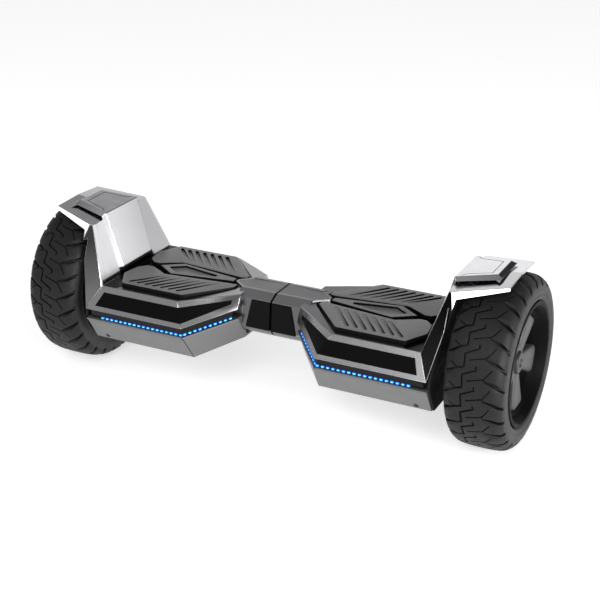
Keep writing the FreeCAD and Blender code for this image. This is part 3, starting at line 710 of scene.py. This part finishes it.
# ---- tyre ----
TYRE_R = 108.0
PITCHES = 28
PITCH = 2 * math.pi * TYRE_R / PITCHES
STEPS = 8                 # grid points to a pitch
COLUMNS = 26              # and columns of them across the tread
CLEARANCE = 0.8           # grid points stay this far from any groove
EDGE = 42.0               # where the tread pattern ends, along the profile from the crown
WALL = 0.45               # width of a groove's wall in plan
# Groove depth sets the painted shade on the groove floors.
DARK_DEPTH = 1.8          # grooves deeper than this are darkest
TREAD_START = {"left": 95.6, "right": 55.0}     # how far round the pattern starts
# Right half of the profile as (x, radius)
CROWN = [(0, 108.0), (10, 107.85), (20, 107.2), (26, 105.9), (31, 103.0), (34.6, 98.8), (36.6, 93.6),
         (37.3, 88.0), (37.0, 82.6), (35.6, 78.9), (33.2, 77.3)]
# Sidewall rings as (distance along the profile, lift), with one fine moulded line
SIDEWALL = [(EDGE, 0), (44, 0), (46.5, 0), (49, 0), (51.4, 0), (51.8, -0.5), (52.6, -0.5), (53.0, 0),
            (55.0, 0), (57.0, 0), (59.0, 0)]
# Right half of the inner surface, from the bead to the middle, as (x, radius)
INNER = [(27.8, 71.6), (22.8, 72.0), (25.3, 88.0), (19.3, 94.5), (0.0, 95.5)]
# Grooves of one pitch as (across, along, width, depth) down their middle
GROOVES = [
    [(-41, -11.2, 6.2, 4.4), (-34, -7.8, 4.4, 4.8), (-19, 0, 2.3, 2.8), (-10.5, 2.8, 2.2, 2.6),
     (-11.5, 17.8, 2.2, 2.4), (4, 25.4, 2.2, 2.4), (3.5, 29.4, 1.8, 2.0)],
    [(-27.4, 6, 1.3, 1.4), (-18, 0.7, 1.6, 1.8)],
    [(-5, 11.2, 1.6, 1.8), (14, 16.6, 1.7, 2.0), (22.3, 28.3, 1.4, 1.6)],
    [(14.4, 14.4, 2.0, 2.4), (34, 5.9, 4.2, 4.8), (41, 2.8, 6.2, 4.4)],
]


def smooth_profile(points):
    """Catmull-Rom curve through points, as a table of (length, x, radius)."""
    pts = [Vector((-points[1][0], points[1][1]))] + [Vector(p) for p in points]
    pts.append(pts[-1] * 2 - pts[-2])
    table = [(0.0, pts[1].x, pts[1].y)]
    for a, b, c, d in zip(pts, pts[1:], pts[2:], pts[3:]):
        for k in range(1, 17):
            t = k / 16
            p = 0.5 * (2 * b + (c - a) * t + (2 * a - 5 * b + 4 * c - d) * t * t
                       + (3 * b - a - 3 * c + d) * t ** 3)
            last = Vector(table[-1][1:])
            table.append((table[-1][0] + (p - last).length, p.x, p.y))
    return table


PROFILE = smooth_profile(CROWN)


def on_profile(s, lift):
    """Point at a distance from the crown, raised from the surface by lift: (x, radius)."""
    side = -1.0 if s < 0 else 1.0
    s = min(abs(s), PROFILE[-1][0] - 1e-6)
    for (s0, x0, r0), (s1, x1, r1) in zip(PROFILE, PROFILE[1:]):
        if s <= s1:
            t = (s - s0) / (s1 - s0)
            along = Vector((x1 - x0, r1 - r0)).normalized()
            x, r = x0 + (x1 - x0) * t, r0 + (r1 - r0) * t
            return side * (x - along.y * lift), r + along.x * lift


def stroke_outline(stroke, inset):
    """Closed outline round a groove's middle line, with mitred bends and blunt round ends."""
    pts = [Vector(p[:2]) for p in stroke]
    half = [p[2] / 2 - inset for p in stroke]
    left, right = [], []
    for i, p in enumerate(pts):
        n, bend = mitre(pts, i)
        n = n * (half[i] / max(0.55, bend))
        left.append(p + n)
        right.append(p - n)
    start = (pts[0] - pts[1]).normalized() * half[0]
    end = (pts[-1] - pts[-2]).normalized() * half[-1]
    cap_end = [pts[-1] + end + (left[-1] - pts[-1]) * 0.5, pts[-1] + end + (right[-1] - pts[-1]) * 0.5]
    cap_start = [pts[0] + start + (right[0] - pts[0]) * 0.5, pts[0] + start + (left[0] - pts[0]) * 0.5]
    return left + cap_end + right[::-1] + cap_start


def reach_of(point, strokes):
    """How deep the nearest groove is at a point, and how far the point is from any groove's edge."""
    depth, gap = 0.0, 1e9
    for stroke in strokes:
        for a, b in zip(stroke, stroke[1:]):
            pa, pb = Vector(a[:2]), Vector(b[:2])
            run = pb - pa
            t = max(0.0, min(1.0, (point - pa).dot(run) / run.length_squared))
            off = (point - (pa + run * t)).length
            half = (a[2] + (b[2] - a[2]) * t) / 2
            deep = a[3] + (b[3] - a[3]) * t
            gap = min(gap, off - half)
            depth = max(depth, deep * max(0.0, min(1.0, (half - off) / WALL)))
    return depth, gap


def tread_tile():
    """One pitch of tread as ((across, along, depth) points, triangles), matching its neighbours."""
    strokes, verts, edges, forced = [], [], [], {}
    for shift in range(-3, 4):
        for groove in GROOVES:
            strokes.append([(x, v + shift * PITCH, w, d) for x, v, w, d in groove])
    for stroke in strokes:
        if max(p[1] for p in stroke) < -1.6 * PITCH or min(p[1] for p in stroke) > 2.6 * PITCH:
            continue
        for inset in (0.0, WALL):
            outline = stroke_outline(stroke, inset)
            first = len(verts)
            for k, p in enumerate(outline):
                if inset:
                    forced[len(verts)] = min(stroke, key=lambda q: (Vector(q[:2]) - p).length)[3]
                verts.append(p)
                edges.append((first + k, first + (k + 1) % len(outline)))
    for c in range(COLUMNS + 1):
        s = -EDGE + 2 * EDGE * c / COLUMNS
        border = c in (0, COLUMNS)
        for k in range(-STEPS, 2 * STEPS + 1):
            v = (k + (0.5 if c % 2 and not border else 0.0)) * PITCH / STEPS
            p = Vector((s, v))
            if border or reach_of(p, strokes)[1] > CLEARANCE:
                verts.append(p)
    points, _, triangles, origins, _, _ = delaunay_2d_cdt(verts, edges, [], 0, 1e-3)
    depths = []
    for p, origin in zip(points, origins):
        depth = reach_of(p, strokes)[0]
        for o in origin:
            depth = max(depth, forced.get(o, 0.0))
        fade = max(0.0, min(1.0, (EDGE - abs(p.x)) / 1.2))
        depths.append(depth * fade)
    keep = []
    for tri in triangles:
        middle = sum(points[i].y for i in tri) / 3
        if 0 <= middle < PITCH:
            keep.append(tuple(tri))
    return [(p.x, p.y, d) for p, d in zip(points, depths)], keep


def make_tyre(side, tile):
    """Tyre with its tread, sidewalls, beads and inner surface."""
    node = side + "_tyre"
    lo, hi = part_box(node)
    centre_x, centre_z = (lo.x + hi.x) / 2, (lo.z + hi.z) / 2
    turn = -1 if side == "left" else 1
    points, triangles = tile

    def ringed(x, r, v):
        a = (TREAD_START[side] + turn * v) / TYRE_R
        return Vector((centre_x + x * MM, -r * MM * math.cos(a), centre_z + r * MM * math.sin(a)))

    def place(s, v, lift):
        return ringed(*on_profile(s, lift), v)

    bm = bmesh.new()
    groove = bm.verts.layers.float.new("groove")
    used = sorted({i for tri in triangles for i in tri})
    for pitch in range(PITCHES):
        made = {}
        for i in used:
            made[i] = bm.verts.new(place(points[i][0], points[i][1] + pitch * PITCH, -points[i][2]))
            # The groove mark carries the painted shade for the groove floors.
            made[i][groove] = min(1.0, points[i][2] / DARK_DEPTH)
        for tri in triangles:
            bm.faces.new([made[i] for i in tri])
    count = PITCHES * STEPS
    for end in (-1, 1):
        rings = [[bm.verts.new(place(end * s, k * PITCH / STEPS, lift)) for k in range(count)]
                 for s, lift in SIDEWALL + [(PROFILE[-1][0], 0)]]
        rings += [[bm.verts.new(ringed(end * x, r, k * PITCH / STEPS)) for k in range(count)]
                  for x, r in INNER]
        bridge(bm, rings)
    bmesh.ops.remove_doubles(bm, verts=bm.verts, dist=5 * WELD)
    bmesh.ops.recalc_face_normals(bm, faces=bm.faces)
    finish_bmesh(node, bm, "tyre_rubber", 32)


# ---- wheel ----
RIM_HALF = 36.5           # half width of the rim
FLANGE_R = 77.0
SEAT_R = 71.0             # where the bead sits
DRUM_R = 55.0             # bore of the drum
WEB = 10.5                # outer face of the drum's web, from the rim's middle
AXLE_BORE = 8.05


def make_rim(side, sign):
    """Rim and rotor drum with rolled lips."""
    node = side + "_motor_shell"
    lo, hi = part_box(node)
    x0, x1 = -RIM_HALF, RIM_HALF
    corners = [(x0, 64, 0.3), (x0, FLANGE_R, 1.2), (x0 + 3.5, FLANGE_R, 1.2), (x0 + 5, SEAT_R, 1),
               (x0 + 22, 67, 0), (x1 - 20, 67, 0), (x1 - 5, SEAT_R, 1), (x1 - 3.5, FLANGE_R, 1.4),
               (x1, FLANGE_R, 1.4), (x1, 72, 2.0), (x1 - 17.6, 62.5, 3), (WEB, 60, 2),
               (WEB, AXLE_BORE, 0), (WEB - 3, AXLE_BORE, 0), (WEB - 3, DRUM_R, 0),
               (x0 + 6, DRUM_R, 0), (x0 + 6, 64, 0)]
    profile = [(sign * x, r) for x, r in fillet(corners)]
    verts, faces = lathe(profile, (lo.x + hi.x) / 2, (lo.z + hi.z) / 2, 144)
    add_piece(node + "_fine", verts, faces, "rim_black", node)


BLADES = 5
BLADE_BASE = 2.2          # height of a blade's foot above the cover's inner face
# Rows of a blade as (radius, share of its width, share of its height): the ends are rounded off
BLADE_ROWS = [(13, 0.55, 0.70), (14.5, 0.86, 0.95), (17, 1, 1), (26, 1, 1), (36, 1, 1), (46, 1, 1),
              (52, 1, 1), (55.3, 0.97, 0.99), (57.2, 0.86, 0.93), (58.2, 0.62, 0.72)]


def blade(angle):
    """One broad wheel-cover blade: crowned across, wider and prouder at its outer end."""
    across = 14
    rings = []
    for r, wide, tall in BLADE_ROWS:
        grow = (r - BLADE_ROWS[0][0]) / 45
        half = (9 + 9.5 * grow) * wide
        top = (8.5 + 4.5 * grow) * tall
        ring = []
        for k in range(across + 1):
            a = math.pi * k / across
            c, s = math.cos(a), math.sin(a)
            ring.append((BLADE_BASE + top * abs(s) ** 0.3, half * math.copysign(abs(c) ** 0.45, c), r))
        rings.append(ring)
    turn = Matrix.Rotation(-math.radians(angle), 3, "X")
    verts = [tuple(turn @ Vector(point)) for ring in rings for point in ring]
    n = across + 1
    faces = quads(len(rings), n)
    faces.append(tuple(range(n)))
    faces.append(tuple(range((len(rings) - 1) * n, len(rings) * n))[::-1])
    return verts, faces


def on_wheel(node, sign, verts):
    """Points given from the inner face of a node's box and the axle, mirrored for the left wheel."""
    lo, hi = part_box(node)
    inner = lo.x if sign > 0 else -hi.x
    return [(sign * (inner + x), y, (lo.z + hi.z) / 2 + z) for x, y, z in verts]


BOSS_R = 24.5             # the cover's boss; the dish lies beyond it


def make_cover(side, sign):
    """Dished cover with five blades and a plain boss."""
    node = side + "_wheel_cover"
    corners = [(0, 10, 0), (0, 58, 0.5), (7.7, 58.8, 1), (15, 63.6, 0.6), (17, 63.6, 0.6), (9.8, 57, 2),
               (3.2, 53.5, 3), (3.2, 24, 2), (9.2, 22.5, 1.4), (10.3, 19, 1.2), (10.3, 10, 0.4)]
    verts, faces = lathe(fillet(corners), 0, 0, 120)
    # Marks the dish beyond the boss for painted shade.
    dish = [float(BOSS_R < math.hypot(y, z) / MM) for _, y, z in verts]
    for i in range(BLADES):
        more, polys = blade(180 + 360 / BLADES * i)
        start = len(verts)
        verts += [(x * MM, y * MM, z * MM) for x, y, z in more]
        faces += [tuple(start + k for k in f) for f in polys]
        dish += [0.0] * len(more)
    obj = add_piece(node + "_fine", on_wheel(node, sign, verts), faces, "cover_black", node, 40)
    mark_points(obj, "dish", dish)


def make_hub(side, sign):
    """Rounded cap with a groove round its skirt and a shallow recess in its face."""
    node = side + "_hub_cap"
    corners = [(0, 4, 0), (0, 15, 0.4), (5.4, 15, 0.5), (6.0, 14.2, 0.3), (6.8, 14.2, 0.3), (7.4, 14.6, 0.3),
               (12, 12.8, 2.6), (12, 6.0, 0.8), (10.6, 5.0, 0.6), (10.6, 0.01, 0)]
    verts, faces = lathe(fillet(corners), 0, 0, 96)
    add_piece(node + "_fine", on_wheel(node, sign, verts), faces, "cap_black", node, 40)


# ---- pads ----
# Outline of the right front pad as (x, y, corner radius)
PAD = [(60, -13, 2), (60, -20, 3), (107, -73, 5), (197, -73, 5), (213, -43, 4), (212, -34, 6),
       (209, -17, 6), (199, -7, 3), (190, -6.5, 3), (163, -22.5, 6), (68, -11.5, 2)]
PAD_FOOT = 135.4          # underside of the rim
PAD_LIP = [(1.5, 0), (0.8, 0.1), (0.3, 0.4), (0.0, 1.0)]     # rounded rim as (inset, drop) from the top
SLOTS = 7
SLOT_WIDTH = 4.8
SLOT_WALL = 0.6
SLOT_END = 1.5            # the slots stop this far inside their points
SLOT_DEPTH = (0.5, 2.6)   # at the inner end, and how much it gains towards the outer end
SLOT_INNER, SLOT_INNER_STEP = Vector((83.7, -20.4)), Vector((13.16, -1.6))
SLOT_OUTER, SLOT_OUTER_STEP = Vector((119.5, -65.0)), Vector((11.73, 0))
LAST_SLOT_SHIFT = Vector((-4, 0))


def shrunk(outline, inset):
    """The outline moved inward by a distance, corner by corner."""
    pts = [Vector(p) for p in outline]
    area = sum(a.x * b.y - b.x * a.y for a, b in zip(pts, pts[1:] + pts[:1]))
    inward = inset if area > 0 else -inset
    out = []
    for i, p in enumerate(pts):
        n, bend = mitre(pts, i, closed=True)
        out.append(p + n * (inward / max(0.5, bend)))
    return out


def inside(point, outline):
    """Whether a point lies inside a closed outline, by the crossings to its right."""
    hit = False
    for a, b in zip(outline, outline[1:] + outline[:1]):
        if (a.y > point.y) != (b.y > point.y):
            crossing = (b.x - a.x) * (point.y - a.y) / (b.y - a.y) + a.x
            hit = hit != (point.x < crossing)
    return hit


def capsule(a, b, half):
    """Outline of a slot with round ends, from point a to point b."""
    steps = 6
    along = (b - a).normalized()
    side = Vector((-along.y, along.x))
    out = []
    for middle, turn in ((b, 0), (a, math.pi)):
        for k in range(steps + 1):
            angle = turn - math.pi / 2 + math.pi * k / steps
            out.append(middle + along * half * math.cos(angle) + side * half * math.sin(angle))
    return out


def make_pad(side, end):
    """Foot pad with a rounded rim and seven ramped slots."""
    node = f"{side}_{end}_pad"
    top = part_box(node)[1].z / MM
    flip = Vector((SIDES[side], 1 if end == "front" else -1))
    rim = fillet(PAD)
    levels = [(inset, top - drop) for inset, drop in PAD_LIP] + [(0.0, PAD_FOOT)]
    loops = [shrunk(rim, inset) for inset, _ in levels]
    verts, edges, depth_at = [], [], {}

    def add_loop(points):
        first = len(verts)
        verts.extend(points)
        edges.extend((first + k, first + (k + 1) % len(points)) for k in range(len(points)))
        return first

    add_loop(loops[0])
    for i in range(SLOTS):
        inner, outer = SLOT_INNER + SLOT_INNER_STEP * i, SLOT_OUTER + SLOT_OUTER_STEP * i
        if i == SLOTS - 1:
            inner += LAST_SLOT_SHIFT
        way = (outer - inner).normalized()
        inner, outer = inner + way * SLOT_END, outer - way * SLOT_END
        for inset in (0.0, SLOT_WALL):
            first = add_loop(capsule(inner, outer, SLOT_WIDTH / 2 - inset))
            if inset:
                for k in range(first, len(verts)):
                    t = (verts[k] - inner).dot(way) / (outer - inner).length
                    depth_at[k] = SLOT_DEPTH[0] + SLOT_DEPTH[1] * max(0.0, min(1.0, t))
    points, _, triangles, origins, _, _ = delaunay_2d_cdt(verts, edges, [], 0, 1e-4)
    bm = bmesh.new()
    made = []
    for p, origin in zip(points, origins):
        deep = max([depth_at.get(o, 0.0) for o in origin] + [0.0])
        made.append(bm.verts.new((p.x * flip.x * MM, p.y * flip.y * MM, (top - deep) * MM)))
    for tri in triangles:
        middle = (points[tri[0]] + points[tri[1]] + points[tri[2]]) / 3
        if inside(middle, loops[0]):
            bm.faces.new([made[i] for i in tri])
    rings = [[bm.verts.new((p.x * flip.x * MM, p.y * flip.y * MM, z * MM)) for p in loop]
             for loop, (_, z) in zip(loops, levels)]
    bridge(bm, rings)
    bm.faces.new(rings[-1])
    bmesh.ops.delete(bm, geom=[v for v in bm.verts if not v.link_faces], context="VERTS")
    bmesh.ops.remove_doubles(bm, verts=bm.verts, dist=1e-6)
    bmesh.ops.recalc_face_normals(bm, faces=bm.faces)
    finish_bmesh(node, bm, "pad_grey", 28)


# ---- lamps ----
def lens_axes(corners):
    """The three edges of a box-shaped lens that meet at its first corner, shortest first."""
    spans = sorted((c - corners[0] for c in corners[1:]), key=lambda s: s.length)
    axes = [spans[0]]
    for s in spans[1:]:
        if len(axes) < 3 and all(abs(s.normalized().dot(a.normalized())) < 0.02 for a in axes):
            axes.append(s)
    return axes


def squared(value):
    """Cosine or sine pushed outward, so that a circle becomes a rounded square."""
    return math.copysign(abs(value) ** 0.7, value)


def make_leds(side):
    """A row of small domed lenses, one in the place of each light."""
    node = side + "_front_leds"
    verts, faces, core = [], [], []
    rings, around = 4, 12
    for corners in islands(node):
        middle = sum(corners, Vector()) / len(corners)
        short, mid, long = lens_axes(corners)
        out = short if short.y < 0 else -short
        first = len(verts)
        for i in range(rings):
            tilt = math.pi / 2 * i / rings
            for k in range(around):
                a = 2 * math.pi * k / around
                cx, cy = squared(math.cos(a)) * math.cos(tilt), squared(math.sin(a)) * math.cos(tilt)
                verts.append(middle + long * 0.58 * cx + mid * 0.6 * cy
                             + out * (-0.1 + 0.6 * math.sin(tilt)))
                core.append(math.sin(tilt))
        back = len(verts)
        for k in range(around):
            verts.append(verts[first + k] - out * 0.4)
            core.append(0.0)
        faces += quads(rings, around, first)
        crown = len(verts)
        verts.append(middle + out * 0.5)
        core.append(1.0)
        top = first + (rings - 1) * around
        for k in range(around):
            m = (k + 1) % around
            faces.append((top + k, top + m, crown))
            faces.append((first + m, first + k, back + k, back + m))
        faces.append(tuple(back + k for k in range(around))[::-1])
    obj = add_piece(node + "_fine", verts, faces, "led_blue", node, 60)
    mark_points(obj, "core", core)


# ---- fender ----
ROOF_LINE = [(246.5, 32.5), (253, 26.5), (281, 19.5), (281, -19.5), (253, -26.5), (246.5, -32.5)]
LINE_WIDTH = 1.3
LINE_SECTION = [(1, -0.3), (0.75, 0.05), (-0.75, 0.05), (-1, -0.3)]     # (share of half width, lift)


def make_roof_line(side, sign):
    """Angular line on the top of the raised panel, open towards the deck."""
    node = side + "_fender_panel"
    bm = cad_bmesh(node)
    top = max(bm.faces, key=lambda f: f.calc_area() if f.normal.z > 0.95 else 0.0)
    normal, anchor = top.normal.copy(), top.calc_center_median()
    bm.free()

    def on_roof(x, y, lift):
        px, py = sign * x * MM, y * MM
        z = anchor.z - (normal.x * (px - anchor.x) + normal.y * (py - anchor.y)) / normal.z
        return Vector((px, py, z)) + normal * lift * MM

    pts = [Vector(p) for p in ROOF_LINE]
    verts = []
    for i, p in enumerate(pts):
        n, bend = mitre(pts, i)
        n = n * (LINE_WIDTH / 2 / bend)
        for off, lift in LINE_SECTION:
            verts.append(on_roof(p.x + n.x * off, p.y + n.y * off, lift))
    faces = quads(len(pts), len(LINE_SECTION))
    faces.append((0, 1, 2, 3))
    faces.append(tuple(len(verts) - 4 + k for k in range(4))[::-1])
    obj = add_piece(node + "_line", verts, faces, "chrome_panel", node)
    mark_points(obj, "line", [1.0] * len(verts))


# ---- build ----
for node, obj in NODES.items():
    for holder in obj.material_slots:
        slot = holder.material.name.split(".")[0]
        if slot in MATERIALS:
            holder.material = MATERIALS[slot]

# Width in millimetres and segments of the rounded edges
EDGES = {
    "front_insert": (0, 0), "rear_insert": (0, 0), "channel_bar": (0.3, 2), "neck_top_panel": (0.4, 2),
    "neck_inserts": (0.4, 2), "wheel_liner": (0.5, 2), "deck_spear": (0.6, 3), "casing_screws": (0.25, 2),
}
PANELS = {
    "upper_casing": (0.8, casing_edge), "lower_casing": (0.8, casing_edge),
    "fender_shell": (0.6, clear_of_bed), "fender_panel": (0.4, raised_edge),
}
TILE = tread_tile()
for side, sign in SIDES.items():
    for part, (width, segments) in EDGES.items():
        refine(side + "_" + part, width, segments)
    for part, (width, pick) in PANELS.items():
        refine_panel(side + "_" + part, width, pick)
    make_tyre(side, TILE)
    make_rim(side, sign)
    make_cover(side, sign)
    make_hub(side, sign)
    make_leds(side)
    make_roof_line(side, sign)
    make_pad(side, "front")
    make_pad(side, "rear")
refine("power_button", 0.4)
refine("charge_port", 0.3)
refine("charge_cap", 0.4)


# ---- camera, floor and studio ----
CAMERA_PLACE = (0.7021, -1.3531, 0.7896)
CAMERA_TARGET = (0.02366, 0.0, 0.1323)
BOARD_MIDDLE = (0, 0, 0.1)
FLOOR_Z = -0.0004         # just under the tyres
FLOOR_REACH = 9.0         # to the sides and the front; it runs farther behind
FLOOR_BACK = 12.0


def aim(obj, target):
    obj.rotation_mode = "QUATERNION"
    obj.rotation_quaternion = (Vector(target) - obj.location).to_track_quat("-Z", "Y")


def soft_box(name, place, size, power):
    """Rectangular light aimed at the middle of the board."""
    data = bpy.data.lights.new(name, "AREA")
    data.shape = "RECTANGLE"
    data.size, data.size_y = size
    data.energy = power
    light = bpy.data.objects.new(name, data)
    light.location = place
    scene.collection.objects.link(light)
    aim(light, BOARD_MIDDLE)


camera_data = bpy.data.cameras.new("camera")
camera_data.sensor_width = 36.0
camera_data.lens = 78.03
camera = bpy.data.objects.new("camera", camera_data)
camera.location = CAMERA_PLACE
scene.collection.objects.link(camera)
aim(camera, CAMERA_TARGET)
scene.camera = camera

floor_mesh = bpy.data.meshes.new("floor")
corners = [(-FLOOR_REACH, -FLOOR_REACH, FLOOR_Z), (FLOOR_REACH, -FLOOR_REACH, FLOOR_Z),
           (FLOOR_REACH, FLOOR_BACK, FLOOR_Z), (-FLOOR_REACH, FLOOR_BACK, FLOOR_Z)]
floor_mesh.from_pydata(corners, [], [(0, 1, 2, 3)])
floor = bpy.data.objects.new("floor", floor_mesh)
scene.collection.objects.link(floor)
g = Graph("pale_floor")
g.set(Base_Color=g.blend(g.noise(3, 4), grey(0.84), grey(0.88)), Roughness=0.8, Specular_IOR_Level=0.1,
      Emission_Color=(1, 1, 1, 1), Emission_Strength=0.52)
floor_mesh.materials.append(g.mat)


def studio_ramp(tree, value, stops):
    """Brightness of the studio by height: stops are (sine of the elevation, level)."""
    ramp = tree.nodes.new("ShaderNodeValToRGB")
    tree.links.new(value, ramp.inputs["Fac"])
    made = ramp.color_ramp.elements
    while len(made) < len(stops):
        made.new(1.0)
    for stop, (position, level) in zip(made, stops):
        stop.position = position
        stop.color = (level, level, level * 1.01, 1)
    return ramp.outputs["Color"]


world = bpy.data.worlds.new("studio")
scene.world = world
world.use_nodes = True
tree = world.node_tree
join = tree.links.new
sky = tree.nodes["Background"]
where = tree.nodes.new("ShaderNodeTexCoord")
split = tree.nodes.new("ShaderNodeSeparateXYZ")
join(where.outputs["Generated"], split.inputs[0])
# Behind, a bright wall up to about 20 degrees and a dim top. In front, dimmest at 15 degrees.
BEHIND = [(0.0, 0.95), (0.32, 1.1), (0.45, 0.24), (1.0, 0.35)]
AHEAD = [(0.0, 0.5), (0.25, 0.32), (0.5, 0.55), (0.7, 0.6), (1.0, 0.45)]
behind = studio_ramp(tree, split.outputs["Z"], BEHIND)
ahead = studio_ramp(tree, split.outputs["Z"], AHEAD)
turn = tree.nodes.new("ShaderNodeMapRange")
for socket, number in zip(turn.inputs[1:5], (-0.15, 0.25, 0.0, 1.0)):
    socket.default_value = number
join(split.outputs["Y"], turn.inputs["Value"])
both = tree.nodes.new("ShaderNodeMix")
both.data_type = "RGBA"
join(turn.outputs["Result"], both.inputs[0])
join(ahead, both.inputs[6])
join(behind, both.inputs[7])
join(both.outputs[2], sky.inputs["Color"])
sky.inputs["Strength"].default_value = 0.9

soft_box("key", (2.4, -0.8, 0.6), (1.3, 1.0), 66)
soft_box("front", (0.25, -2.05, 1.4), (1.2, 1.5), 22)
soft_box("left", (-2.6, -0.95, 1.15), (0.8, 0.7), 5)

scene.view_settings.view_transform = "Standard"
scene.view_settings.look = "None"
scene.view_settings.exposure = 0.0
